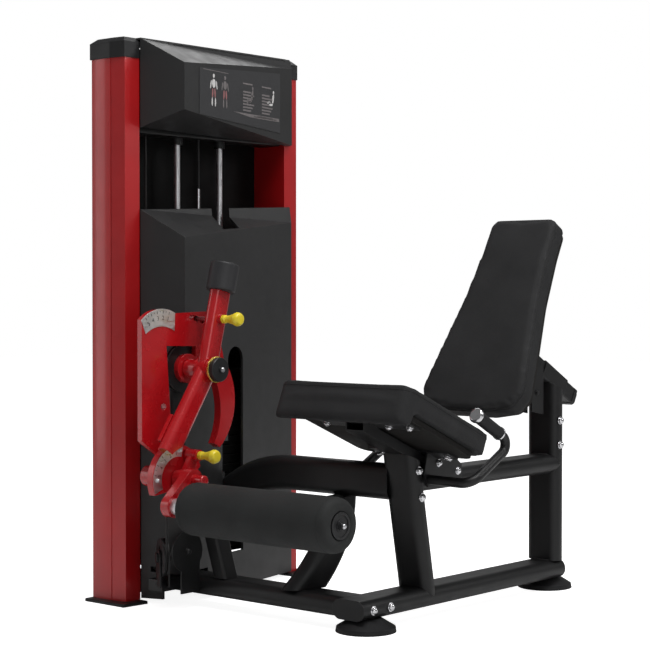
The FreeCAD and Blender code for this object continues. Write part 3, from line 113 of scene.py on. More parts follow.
def spread(tree, source, low, high, to_low=0.0, to_high=1.0):
    """Map a value's range onto another, clamped."""
    node = add_node(
        tree, "ShaderNodeMapRange", From_Min=low, From_Max=high, To_Min=to_low, To_Max=to_high
    )
    tree.links.new(source, node.inputs["Value"])
    return node.outputs["Result"]


def combine(tree, operation, a, b):
    node = tree.nodes.new("ShaderNodeMath")
    node.operation = operation
    for value, socket in ((a, node.inputs[0]), (b, node.inputs[1])):
        if isinstance(value, (int, float)):
            socket.default_value = value
        else:
            tree.links.new(value, socket)
    return node.outputs["Value"]


def blend_colours(tree, factor, first, second):
    node = tree.nodes.new("ShaderNodeMix")
    node.data_type = "RGBA"
    tree.links.new(factor, node.inputs["Factor"])
    for value, socket in ((first, node.inputs["A"]), (second, node.inputs["B"])):
        if isinstance(value, tuple):
            socket.default_value = (*value, 1)
        else:
            tree.links.new(value, socket)
    return node.outputs["Result"]


def rounded_normal(tree, radius):
    """Normal that rounds every sharp edge by a radius, and a mask that is 1 along those edges."""
    bevel = add_node(tree, "ShaderNodeBevel", Radius=radius)
    bevel.samples = 4
    geometry = tree.nodes.new("ShaderNodeNewGeometry")
    facing = tree.nodes.new("ShaderNodeVectorMath")
    facing.operation = "DOT_PRODUCT"
    tree.links.new(bevel.outputs["Normal"], facing.inputs[0])
    tree.links.new(geometry.outputs["True Normal"], facing.inputs[1])
    return bevel.outputs["Normal"], spread(tree, facing.outputs["Value"], 0.995, 0.85)


def bump(tree, height, strength, depth, normal=None):
    node = add_node(tree, "ShaderNodeBump", Strength=strength, Distance=depth)
    tree.links.new(height, node.inputs["Height"])
    if normal is not None:
        tree.links.new(normal, node.inputs["Normal"])
    return node.outputs["Normal"]


def shades(colour, by):
    """The colour made darker and lighter by a share."""
    return tuple(c * (1 - by) for c in colour), tuple(min(1.0, c * (1 + by)) for c in colour)


def finish_material(tree, shader, colour, roughness, normal):
    tree.links.new(colour, shader.inputs["Base Color"])
    tree.links.new(roughness, shader.inputs["Roughness"])
    tree.links.new(normal, shader.inputs["Normal"])


def coated_metal(name, colour, rough, grain=900, depth=0.0001, edge_colour=(0.3, 0.3, 0.3), edge_share=0.25, coat=0.0,
                 metallic=0.0, specular=0.5, edge=0.0012, tone=0.08):
    """Powder coat or lacquer: fine orange peel, uneven gloss, paler along its edges."""
    material, tree, shader = start_material(name)
    shader.inputs["Metallic"].default_value = metallic
    shader.inputs["Specular IOR Level"].default_value = specular
    shader.inputs["Coat Weight"].default_value = coat
    shader.inputs["Coat Roughness"].default_value = 0.12
    normal, edges = rounded_normal(tree, edge)
    dark, light = shades(colour, tone)
    base = blend_colours(tree, spread(tree, noise(tree, 7.0), 0.3, 0.7), dark, light)
    # Paler colour along the sharp edges, in patches broken up by noise.
    pale_edges = combine(tree, "MULTIPLY", edges, spread(tree, noise(tree, 60.0, 5), 0.45, 0.75, 0.0, edge_share))
    base = blend_colours(tree, pale_edges, base, edge_colour)
    gloss = spread(tree, noise(tree, 22.0, 4), 0.3, 0.7, rough * 0.88, min(1.0, rough * 1.12))
    finish_material(tree, shader, base, gloss, bump(tree, noise(tree, grain), 0.35, depth, normal))
    return material


def moulded(name, colour, rough, grain=1400, depth=0.00015, edge_share=0.15, specular=0.4, edge=0.001):
    """Textured plastic or rubber."""
    material, tree, shader = start_material(name)
    shader.inputs["Specular IOR Level"].default_value = specular
    normal, edges = rounded_normal(tree, edge)
    dark, light = shades(colour, 0.1)
    base = blend_colours(tree, spread(tree, noise(tree, 11.0), 0.3, 0.7), dark, light)
    pale = tuple(min(1.0, c * 1.8 + 0.02) for c in colour)
    # Paler colour along the sharp edges.
    base = blend_colours(tree, combine(tree, "MULTIPLY", edges, edge_share), base, pale)
    gloss = spread(tree, noise(tree, 40.0, 4), 0.3, 0.7, rough * 0.9, min(1.0, rough * 1.1))
    finish_material(tree, shader, base, gloss, bump(tree, cells(tree, grain), 0.4, depth, normal))
    return material


def leather(name, colour, rough=0.62, pore=620.0):
    """Synthetic leather: small pebbled cells with painted shade in their hollows, a few soft creases and rubbed
    patches.
    """
    material, tree, shader = start_material(name)
    shader.inputs["Specular IOR Level"].default_value = 0.12
    shader.inputs["Sheen Weight"].default_value = 0.0
    shader.inputs["Sheen Roughness"].default_value = 0.5
    dark, light = shades(colour, 0.14)
    base = blend_colours(tree, spread(tree, noise(tree, 9.0, 4), 0.3, 0.7), dark, light)
    pebble = cells(tree, pore)
    # Painted shade: the colour darkens towards half its value in the hollows between the pebbles.
    painted_hollow_shade = spread(tree, pebble, 0.25, 0.6, 0.0, 0.35)
    base = blend_colours(tree, painted_hollow_shade, base, tuple(c * 0.5 for c in colour))
    gloss = spread(tree, noise(tree, 14.0, 5), 0.3, 0.7, rough * 0.85, rough * 1.15)
    fine = bump(tree, pebble, 0.5, 0.0004)
    soft = bump(tree, noise(tree, 26.0, 5), 0.12, 0.003, fine)
    finish_material(tree, shader, base, gloss, soft)
    return material


def bare_metal(name, colour, rough, along=(1, 1, 1), scratch=0.00004, grain=260.0):
    """Polished or turned metal with hairlines drawn out along one direction."""
    material, tree, shader = start_material(name)
    shader.inputs["Metallic"].default_value = 1.0
    normal = rounded_normal(tree, 0.0006)[0]
    dark, light = shades(colour, 0.12)
    hair = noise(tree, grain, 4, along)
    base = blend_colours(tree, spread(tree, noise(tree, 30.0), 0.3, 0.7), dark, light)
    gloss = spread(tree, hair, 0.3, 0.7, rough * 0.7, min(1.0, rough * 1.4))
    finish_material(tree, shader, base, gloss, bump(tree, hair, 0.3, scratch, normal))
    return material


def plywood(name, colour):
    material, tree, shader = start_material(name)
    shader.inputs["Specular IOR Level"].default_value = 0.25
    dark, light = shades(colour, 0.35)
    fibre = noise(tree, 40.0, 6, (1, 14, 14))
    base = blend_colours(tree, spread(tree, fibre, 0.35, 0.65), dark, light)
    gloss = spread(tree, fibre, 0.3, 0.7, 0.6, 0.8)
    finish_material(tree, shader, base, gloss, bump(tree, fibre, 0.3, 0.0004))
    return material


def printed(name, colour, rough=0.35):
    """Ink or film: nearly even, with a trace of mottling."""
    material, tree, shader = start_material(name)
    dark, light = shades(colour, 0.05)
    base = blend_colours(tree, spread(tree, noise(tree, 90.0), 0.3, 0.7), dark, light)
    gloss = spread(tree, noise(tree, 30.0), 0.3, 0.7, rough * 0.9, rough * 1.1)
    finish_material(tree, shader, base, gloss, bump(tree, noise(tree, 500.0), 0.1, 0.00005))
    return material


LOOK = {
    "column_red": coated_metal("column_red", (0.44, 0.006, 0.008), 0.34, depth=0.00005, specular=0.6,
                               edge_colour=(0.6, 0.15, 0.12), edge_share=0.3, metallic=0.2, coat=0.5),
    "arm_red": coated_metal("arm_red", (0.46, 0.006, 0.010), 0.26, depth=0.00004, edge_colour=(0.6, 0.16, 0.13),
                            edge_share=0.5, coat=0.7, metallic=0.1),
    "weight_black": coated_metal("weight_black", (0.026, 0.026, 0.028), 0.5, depth=0.0003, grain=500,
                                 specular=0.4),
    "frame_black": coated_metal("frame_black", (0.0085, 0.0085, 0.009), 0.42, grain=1500, depth=0.0001,
                                edge_colour=(0.10, 0.10, 0.10), edge_share=0.35, specular=0.4),
    "shroud_grey": coated_metal("shroud_grey", (0.024, 0.024, 0.0245), 0.44, grain=1300, depth=0.0002,
                                edge_colour=(0.12, 0.12, 0.12), edge_share=0.3, specular=0.45),
    "cap_black": moulded("cap_black", (0.010, 0.010, 0.011), 0.42),
    "plate_iron": coated_metal("plate_iron", (0.012, 0.012, 0.012), 0.38, grain=300, depth=0.0004,
                               edge_colour=(0.16, 0.16, 0.16), edge_share=0.5),
    "bright_chrome": bare_metal("bright_chrome", (0.78, 0.78, 0.80), 0.16),
    "rod_chrome": bare_metal("rod_chrome", (0.72, 0.72, 0.74), 0.42, along=(1, 1, 0.05)),
    "machined_steel": bare_metal("machined_steel", (0.42, 0.42, 0.44), 0.34, along=(0.1, 1, 1),
                                 scratch=0.0001),
    "pad_leather": leather("pad_leather", (0.032, 0.032, 0.033)),
    "roller_skin": leather("roller_skin", (0.032, 0.033, 0.033), rough=0.66, pore=900.0),
    # Near-black, darker than the frame's black paint: painted shade for the inside of the weight housing.
    "cover_shade_black": coated_metal("cover_shade_black", (0.003, 0.003, 0.003), 0.6, grain=1300, specular=0.15,
                                edge_share=0.1),
    "board_wood": plywood("board_wood", (0.012, 0.011, 0.010)),
    "knob_yellow": moulded("knob_yellow", (0.83, 0.66, 0.035), 0.3, depth=0.00005, edge_share=0.1, specular=0.5),
    "cable_black": moulded("cable_black", (0.012, 0.012, 0.012), 0.38, grain=700, depth=0.0002),
    "pulley_black": moulded("pulley_black", (0.014, 0.014, 0.015), 0.45),
    "scale_aluminium": bare_metal("scale_aluminium", (0.72, 0.72, 0.72), 0.38, along=(1, 0.15, 1)),
    "rubber_black": moulded("rubber_black", (0.013, 0.013, 0.014), 0.62, grain=2200, specular=0.3),
    "placard_print": printed("placard_print", (0.040, 0.040, 0.042), 0.32),
    "ink_white": printed("ink_white", (0.62, 0.61, 0.60)),
    "ink_grey": printed("ink_grey", (0.17, 0.155, 0.155)),
    "ink_rose": printed("ink_rose", (0.30, 0.13, 0.13)),
    "ink_dark": printed("ink_dark", (0.012, 0.012, 0.012)),
    "brass": bare_metal("brass", (0.72, 0.52, 0.12), 0.26),
    "thread": moulded("thread", (0.030, 0.030, 0.031), 0.7, grain=3000),
    "weld_black": coated_metal("weld_black", (0.0085, 0.0085, 0.009), 0.5, grain=700, depth=0.0004,
                               specular=0.4),
    "pin_steel": bare_metal("pin_steel", (0.55, 0.55, 0.57), 0.3),
}


def smooth_by_angle(mesh, degrees):
    for polygon in mesh.polygons:
        polygon.use_smooth = True
    mesh.set_sharp_from_angle(angle=math.radians(degrees))


def dress(node, look):
    mesh = NODES[node].data
    mesh.materials.clear()
    mesh.materials.append(LOOK[look])


def dress_frame():
    for part in frame["record"]["subparts"]:
        dress(part["node"], part["material_slot"])
    dress("arm_weight", "weight_black")
    # The rear cover gets the near-black painted-shade finish.
    dress("rear_cover", "cover_shade_black")
    dress("cable_drum", "frame_black")
    dress("pivot_shaft", "arm_red")


# ---------------------------------------------------------------- mesh helpers


def new_piece(name, vertices, faces, look, body, angle=40):
    mesh = bpy.data.meshes.new(name)
    mesh.from_pydata([tuple(v) for v in vertices], [], faces)
    mesh.validate()
    mesh.update()
    work = bmesh.new()
    work.from_mesh(mesh)
    bmesh.ops.recalc_face_normals(work, faces=work.faces)
    work.to_mesh(mesh)
    work.free()
    smooth_by_angle(mesh, angle)
    mesh.materials.append(LOOK[look])
    piece = bpy.data.objects.new(name, mesh)
    bpy.context.scene.collection.objects.link(piece)
    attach(piece, body)
    return piece


class Builder:
    """Collects many small solids into one mesh."""

    def __init__(self):
        self.vertices = []
        self.faces = []

    def add(self, vertices, faces):
        start = len(self.vertices)
        self.vertices += [Vector(v) for v in vertices]
        self.faces += [[start + i for i in face] for face in faces]

    def slab(self, points, lift):
        """Flat polygon raised by a vector into a closed plate."""
        count = len(points)
        top = [Vector(p) + lift for p in points]
        sides = [[i, (i + 1) % count, (i + 1) % count + count, i + count] for i in range(count)]
        self.add(list(points) + top, [list(range(count))[::-1], list(range(count, 2 * count))] + sides)

    def tube(self, path, radius, sides=8, closed=False, swell=None):
        """Round tube along points; swell(i) scales the radius at point i."""
        count = len(path)
        rings = []
        normal = None
        for i, point in enumerate(path):
            before = path[i - 1] if closed or i else path[0]
            after = path[(i + 1) % count] if closed or i < count - 1 else path[-1]
            way = (after - before).normalized()
            if normal is None:
                normal = way.orthogonal().normalized()
            normal = (normal - way * normal.dot(way)).normalized()
            side = way.cross(normal)
            r = radius * (swell(i) if swell else 1)
            rings.append([
                point + (normal * math.cos(a) + side * math.sin(a)) * r
                for a in (2 * math.pi * k / sides for k in range(sides))
            ])
        vertices = [v for ring in rings for v in ring]
        faces = []
        for i in range(count if closed else count - 1):
            j = (i + 1) % count
            for k in range(sides):
                m = (k + 1) % sides
                faces.append([i * sides + k, i * sides + m, j * sides + m, j * sides + k])
        if not closed:
            faces.append(list(range(sides))[::-1])
            faces.append([(count - 1) * sides + k for k in range(sides)])
        self.add(vertices, faces)

    def lathe(self, origin, axis, profile, steps=48):
        """Turn (distance along, radius) points about an axis; ends at radius 0 close it."""
        axis = Vector(axis).normalized()
        across = axis.orthogonal().normalized()
        side = axis.cross(across)
        vertices, rows = [], []
        for along, radius in profile:
            centre = Vector(origin) + axis * along
            if radius < 1e-7:
                rows.append([len(vertices)])
                vertices.append(centre)
            else:
                rows.append(list(range(len(vertices), len(vertices) + steps)))
                for k in range(steps):
                    a = 2 * math.pi * k / steps
                    vertices.append(centre + (across * math.cos(a) + side * math.sin(a)) * radius)
        faces = []
        for low, high in zip(rows, rows[1:]):
            for k in range(steps):
                m = (k + 1) % steps
                if len(low) == 1 and len(high) > 1:
                    faces.append([low[0], high[k], high[m]])
                elif len(high) == 1 and len(low) > 1:
                    faces.append([low[k], low[m], high[0]])
                elif len(low) > 1:
                    faces.append([low[k], low[m], high[m], high[k]])
        self.add(vertices, faces)

    def build(self, name, look, body, slot, angle=40):
        return new_piece(name, self.vertices, self.faces, look, body, angle)


def even_loop(points, step):
    """Points spaced evenly round a closed loop."""
    loop = points + points[:1]
    lengths = [(b - a).length for a, b in zip(loop, loop[1:])]
    total = sum(lengths)
    count = max(8, round(total / step))
    out, k, walked = [], 0, 0.0
    for i in range(count):
        target = total * i / count
        while walked + lengths[k] < target:
            walked += lengths[k]
            k += 1
        out.append(loop[k].lerp(loop[k + 1], (target - walked) / max(lengths[k], 1e-9)))
    return out


# ---------------------------------------------------------------- upholstery


def biggest_face(node, towards):
    """Centre, normal and area-weighted plane of a CAD node's largest flat face that looks one way."""
    best = {}
    for polygon in NODES[node].data.polygons:
        if polygon.normal.dot(towards) > 0.5:
            key = tuple(round(c, 2) for c in polygon.normal)
            area, total, normal = best.get(key, (0.0, Vector(), Vector()))
            share = polygon.area
            best[key] = (area + share, total + polygon.center * share, normal + polygon.normal * share)
    area, total, normal = max(best.values(), key=lambda item: item[0])
    return total / area, normal.normalized()


def smooth_out(piece, rounds):
    bpy.context.view_layer.objects.active = piece
    relax = piece.modifiers.new("relax", "SMOOTH")
    relax.factor = 0.5
    relax.iterations = rounds
    bpy.ops.object.modifier_apply(modifier="relax")


def remeshed_copy(node, name, voxel, shrink):
    """Evenly meshed copy of a CAD soft solid, drawn in a little so that it can swell back."""
    piece = bpy.data.objects.new(name, NODES[node].data.copy())
    bpy.context.scene.collection.objects.link(piece)
    bpy.context.view_layer.objects.active = piece
    remesh = piece.modifiers.new("remesh", "REMESH")
    remesh.mode = "VOXEL"
    remesh.voxel_size = voxel
    bpy.ops.object.modifier_apply(modifier="remesh")
    smooth_out(piece, 8)
    mesh = piece.data
    normals = [v.normal.copy() for v in mesh.vertices]
    for vertex, normal in zip(mesh.vertices, normals):
        vertex.co -= normal * shrink
    return piece


def inflate(piece, flat_side, plane_point, cap, pressure=4.0):
    """Cloth simulation with inner pressure; the side that rests on its board stays put."""
    mesh = piece.data
    rest = [v.co.copy() for v in mesh.vertices]
    normals = [v.normal.copy() for v in mesh.vertices]
    pins = piece.vertex_groups.new(name="pins")
    held = [v.index for v in mesh.vertices if (v.co - plane_point).dot(flat_side) > -0.006]
    pins.add(held, 1.0, "REPLACE")
    cloth = piece.modifiers.new("cloth", "CLOTH")
    settings = cloth.settings
    settings.use_pressure = True
    settings.uniform_pressure_force = pressure
    settings.vertex_group_mass = "pins"
    settings.tension_stiffness = 30
    settings.compression_stiffness = 30
    settings.bending_stiffness = 12
    settings.effector_weights.gravity = 0
    cloth.point_cache.frame_start = 1
    cloth.point_cache.frame_end = 20
    for step in range(1, 21):
        bpy.context.scene.frame_set(step)
    shaped = piece.evaluated_get(bpy.context.evaluated_depsgraph_get()).to_mesh()
    swollen = [v.co.copy() for v in shaped.vertices]
    piece.evaluated_get(bpy.context.evaluated_depsgraph_get()).to_mesh_clear()
    piece.modifiers.clear()
    bpy.context.scene.frame_set(1)
    for vertex, start, end, out in zip(mesh.vertices, rest, swollen, normals):
        vertex.co = start + out * max(0.0, min(cap, (end - start).dot(out)))
    smooth_out(piece, 5)


def subdivide_once(piece):
    bpy.context.view_layer.objects.active = piece
    finer = piece.modifiers.new("finer", "SUBSURF")
    finer.levels = 1
    finer.render_levels = 1
    bpy.ops.object.modifier_apply(modifier="finer")


def upholster(node, name, flat_side, plane_point, shrink, cap, look, voxel=0.005):
    piece = remeshed_copy(node, name, voxel, shrink)
    inflate(piece, flat_side, plane_point, cap)
    subdivide_once(piece)
    piece.data.materials.clear()
    piece.data.materials.append(LOOK[look])
    for polygon in piece.data.polygons:
        polygon.use_smooth = True
    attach(piece, BODY_OF[node])
    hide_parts(node)
    return piece


def surface_of(piece):
    places = [v.co.copy() for v in piece.data.vertices]
    return BVHTree.FromPolygons(places, [tuple(p.vertices) for p in piece.data.polygons])


def side_loop(tree, centre, normal, steps=720, reach=1.0):
    """Outline of a pad in the plane through a point, found from outside, with outward directions."""
    across = normal.orthogonal().normalized()
    side = normal.cross(across)
    points = []
    for i in range(steps):
        a = 2 * math.pi * i / steps
        way = across * math.cos(a) + side * math.sin(a)
        hit = tree.ray_cast(centre + way * reach, -way)[0]
        if hit is not None:
            points.append(hit)
    return points


def sew(piece, name, centre, normal, body, offset=0.0035, stitch=0.0075):
    """Piped seam round the pad's sides with a row of stitches on each side of it."""
    tree = surface_of(piece)
    seam = Builder()
    seam.tube(even_loop(side_loop(tree, centre, normal), 0.006), 0.0011, 6, closed=True)
    seam.build(name + "_piping", "pad_leather", body, "pad_leather", 80)
    threads = Builder()
    for shift in (-offset, offset):
        loop = even_loop(side_loop(tree, centre + normal * shift, normal), stitch)
        count = len(loop)
        for i, point in enumerate(loop):
            after = loop[(i + 1) % count]
            out = point - centre
            out = (out - normal * out.dot(normal)).normalized() * 0.0003
            middle, end = point.lerp(after, 0.33), point.lerp(after, 0.62)
            threads.tube([point + out * 0.2, middle + out, end + out * 0.2], 0.00045, 4)
    threads.build(name + "_stitches", "thread", body, "pad_leather", 80)


def build_seat_and_back():
    top_point, top_normal = biggest_face("seat_pad", Z_AXIS)
    board_point, board_normal = biggest_face("seat_board", Z_AXIS)
    seat = upholster(
        "seat_pad", "seat_cushion", -top_normal, board_point, PAD_SHRINK, PAD_SWELL, "pad_leather"
    )
    sew(seat, "seat", top_point - top_normal * PIPING_DEPTH, top_normal, "frame")
    front_point, front_normal = biggest_face("back_pad", -Y_AXIS)
    board_point, board_normal = biggest_face("back_board", Y_AXIS)
    back_plane = board_point - board_normal * BOARD_THICKNESS
    back = upholster(
        "back_pad", "back_cushion", -front_normal, back_plane, PAD_SHRINK, PAD_SWELL, "pad_leather"
    )
    sew(back, "back", front_point - front_normal * PIPING_DEPTH, front_normal, "backrest")


def build_roller():
    low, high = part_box("roller_pad")
    centre = (low + high) / 2
    no_board = Vector((0, 0, 10))
    pad = upholster(
        "roller_pad", "roller_cushion", Z_AXIS, no_board, ROLLER_SHRINK, ROLLER_SWELL, "roller_skin"
    )
    tree = surface_of(pad)
    seam = Builder()
    for x in (low.x + 0.024, high.x - 0.024):
        middle = Vector((x, centre.y, centre.z))
        seam.tube(even_loop(side_loop(tree, middle, X_AXIS, 180, 0.3), 0.006), 0.0007, 6, closed=True)
    seam.build("roller_seams", "roller_skin", "roller", "pad_leather", 80)


# ---------------------------------------------------------------- knobs, rings and welds


def build_pull_knob(node, body, name):
    """Spring plunger: turned steel pin with a smooth waisted yellow knob."""
    low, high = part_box(node)
    y, z = (low.y + high.y) / 2, (low.z + high.z) / 2
    grip = Builder()
    start = high.x - KNOB_LENGTH
    profile = [(0.0, 0.0), (0.0, 0.0096), (0.0014, 0.0108), (0.012, 0.0104)]
    for i in range(11):
        t = i / 10
        profile.append((0.013 + 0.037 * t, 0.0088 + 0.0092 * t ** 1.6))
    for i in range(1, 11):
        a = math.pi / 2 * i / 10
        profile.append((0.050 + 0.013 * math.sin(a), 0.0110 + 0.0070 * math.cos(a)))
    profile.append((KNOB_LENGTH, 0.0))
    grip.lathe((start, y, z), X_AXIS, profile)
    knob = grip.build(name + "_knob", "knob_yellow", body, "knob_yellow", 50)
    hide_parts(node)
    shaft = Builder()
    reach = start - low.x
    shaft.lathe((low.x, y, z), X_AXIS, [
        (0, 0), (0, 0.0045), (0.0015, PIN_RADIUS), (reach, PIN_RADIUS), (reach, 0),
    ])
    shaft.build(name + "_shaft", "pin_steel", body, "knob_yellow", 50)


def build_rings():
    """Brass thrust ring behind the hub cap, and bright bolts in the middle of the hub and roller caps."""
    low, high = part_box("hub_cap")
    y, z = JOINT_AT["cam_swing"].y, JOINT_AT["cam_swing"].z
    radius = (high.z - low.z) / 2
    ring = Builder()
    ring.lathe((low.x - 0.004, y, z), X_AXIS, [
        (0, 0.020), (0, radius + 0.0016), (0.0006, radius + 0.0026), (0.0052, radius + 0.0026),
        (0.0060, radius + 0.0016), (0.0060, radius + 0.0003), (0.0039, radius - 0.0005),
        (0.0039, 0.020), (0, 0.020),
    ])
    ring.build("hub_ring", "brass", "arm", "machined_steel", 40)
    caps = (("hub_cap", "frame", "hub_bolt"), ("roller_cap", "roller", "roller_bolt"))
    for node, body, bolt_name in caps:
        low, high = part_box(node)
        bolt = Builder()
        bolt.lathe((high.x - 0.003, (low.y + high.y) / 2, (low.z + high.z) / 2), X_AXIS, [
            (0, 0), (0, 0.0062), (0.0034, 0.0062), (0.0052, 0.0048), (0.0060, 0.0026), (0.0060, 0),
        ], 24)
        bolt.build(bolt_name, "pin_steel", body, "bright_chrome", 30)


def weld(builder, path, radius=0.0028, pitch=0.0042):
    """Fish-scale bead: a closed tube whose radius rises and falls along its path."""
    ripples = lambda i: 0.82 + 0.26 * abs(math.sin(math.pi * i / 4))
    builder.tube(even_loop(path, pitch / 4), radius, 8, closed=True, swell=ripples)


def oval(centre, right, up, wide, high, corner, steps=10):
    """Rounded rectangle of points in the plane of two directions."""
    points = []
    for cx, cy, start in ((1, 1, 0), (-1, 1, 90), (-1, -1, 180), (1, -1, 270)):
        for k in range(steps + 1):
            a = math.radians(start + 90 * k / steps)
            x = cx * (wide / 2 - corner) + corner * math.cos(a)
            y = cy * (high / 2 - corner) + corner * math.sin(a)
            points.append(centre + right * x + up * y)
    return points


def build_welds():
    """Beads where the rear post stands on its beam and where the rail meets it."""
    beads = Builder()
    rear_low, rear_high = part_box("rear_post")
    beam_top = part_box("base_beam")[1].z
    rail_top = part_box("frame_braces")[1].z
    wide = rear_high.x - rear_low.x
    proud = 0.0006
    corner = 0.0236
    foot = Vector(((rear_low.x + rear_high.x) / 2, (rear_low.y + rear_high.y) / 2, beam_top + proud))
    weld(beads, oval(foot, X_AXIS, Y_AXIS, wide - 0.022, 0.0512, corner))
    meeting = Vector((foot.x, rear_low.y - proud, rail_top - 0.025))
    weld(beads, oval(meeting, X_AXIS, Z_AXIS, wide - 0.024, 0.0508, corner))
    beads.build("frame_welds", "weld_black", "frame", "frame_black", 80)


# ---------------------------------------------------------------- cable


def build_stem_cable():
    """Laid-up cable over the stack; in the machine it shortens towards the head pulley as the stem rises."""
    low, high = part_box("stem_cable")
    middle = (low + high) / 2
    sheath = Builder()
    rows = 60
    path = [Vector((middle.x, middle.y, low.z + (high.z - low.z) * i / rows)) for i in range(rows + 1)]
    sheath.tube(path, (high.x - low.x) / 2, 16)
    for i in range(4):
        turn = math.pi * i / 2
        strand = [
            Vector((
                middle.x + STRAND_REACH * math.cos(turn + (p.z - low.z) * STRAND_TWIST),
                middle.y + STRAND_REACH * math.sin(turn + (p.z - low.z) * STRAND_TWIST),
                p.z,
            ))
            for p in (path[0].lerp(path[-1], k / 240) for k in range(241))
        ]
        sheath.tube(strand, 0.0008, 5)
    cable = sheath.build("stem_cable_sheath", "cable_black", BODY_OF["stem_cable"], "cable_black", 60)
    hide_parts("stem_cable")
    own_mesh(cable)


# ---------------------------------------------------------------- printed marks


def add_text(text, size, origin, right, up, look, body, name):
    """Flat raised numeral centred on a point."""
    curve = bpy.data.curves.new(name, "FONT")
    curve.body = text
    curve.size = size
    curve.extrude = 0.0001
    curve.align_x = "CENTER"
    curve.align_y = "CENTER"
    holder = bpy.data.objects.new(name + "_text", curve)
    bpy.context.scene.collection.objects.link(holder)
    out = right.cross(up)
    holder.matrix_world = Matrix((
        (right.x, up.x, out.x, origin.x),
        (right.y, up.y, out.y, origin.y),
        (right.z, up.z, out.z, origin.z),
        (0, 0, 0, 1),
    ))
    bpy.context.view_layer.update()
    mesh = bpy.data.meshes.new_from_object(holder.evaluated_get(bpy.context.evaluated_depsgraph_get()))
    mesh.transform(holder.matrix_world)
    bpy.data.objects.remove(holder)
    mesh.name = name
    mesh.materials.clear()
    mesh.materials.append(LOOK[look])
    piece = bpy.data.objects.new(name, mesh)
    bpy.context.scene.collection.objects.link(piece)
    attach(piece, body)
    return piece


def arc_centre(a, b, c):
    """Centre of the circle through three points of a plane of constant X."""
    d = 2 * (a.y * (b.z - c.z) + b.y * (c.z - a.z) + c.y * (a.z - b.z))
    sizes = [p.y * p.y + p.z * p.z for p in (a, b, c)]
    y = (sizes[0] * (b.z - c.z) + sizes[1] * (c.z - a.z) + sizes[2] * (a.z - b.z)) / d
    z = (sizes[0] * (c.y - b.y) + sizes[1] * (a.y - c.y) + sizes[2] * (b.y - a.y)) / d
    return Vector((a.x, y, z))


def mark_scale(name, body, centre, outer, inner, first, last, count):
    """Tick marks and numerals between two radii about a centre, on a face that looks along +X."""
    ticks = Builder()
    for i in range(count * 2 - 1):
        a = math.radians(first + (last - first) * i / (count * 2 - 2))
        way = Vector((0, math.cos(a), math.sin(a)))
        numbered = i % 2 == 0
        start = centre + way * (outer - 0.002)
        end = start - way * (0.007 if numbered else 0.004)
        aside = Vector((0, -way.z, way.y)) * (0.0008 if numbered else 0.0005)
        ticks.slab([start - aside, start + aside, end + aside, end - aside], X_AXIS * 0.0002)
        if numbered:
            number = str(i // 2 + 1)
            size = min(0.016, (outer - inner) * 0.5)
            add_text(number, size, end - way * size * 0.75, way.cross(X_AXIS), way, "ink_dark", body,
                     f"{name}_number_{number}")
    ticks.build(name + "_ticks", "ink_dark", body, "scale_aluminium")


def build_lever_scale():
    """Marks on the ring plate round the lever's own pivot."""
    face_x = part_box("lever_scale")[0].x + SCALE_THICKNESS
    pivot = JOINT_AT["lever_adjust"]
    reaches = [
        math.hypot(v.co.y - pivot.y, v.co.z - pivot.z)
        for v in NODES["lever_scale"].data.vertices if v.co.x < face_x + 0.0001
    ]
    centre = Vector((face_x, pivot.y, pivot.z))
    mark_scale("lever_scale", "arm", centre, max(reaches), min(reaches), 95, 170, 5)


def build_start_scale():
    """Marks along the outer arc of the cam's corner plate, whose centre is not the knee pivot."""
    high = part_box("start_scale")[1]
    face_x = high.x
    rim = sorted(
        (v.co for v in NODES["start_scale"].data.vertices if v.co.x > face_x - 0.0001), key=lambda co: co.y
    )
    top = max(rim, key=lambda co: co.z)
    left = rim[0]
    highest_right = max((co for co in rim if co.y > high.y - 0.008), key=lambda co: co.z)
    centre = arc_centre(left, top, highest_right)
    outer = (top - centre).length
    ends = [co - centre for co in (highest_right, left)]
    first, last = (math.degrees(math.atan2(end.z, end.y)) for end in ends)
    mark_scale("start_scale", "cam", centre, outer - 0.003, outer - 0.034, first + 8, last - 8, 5)


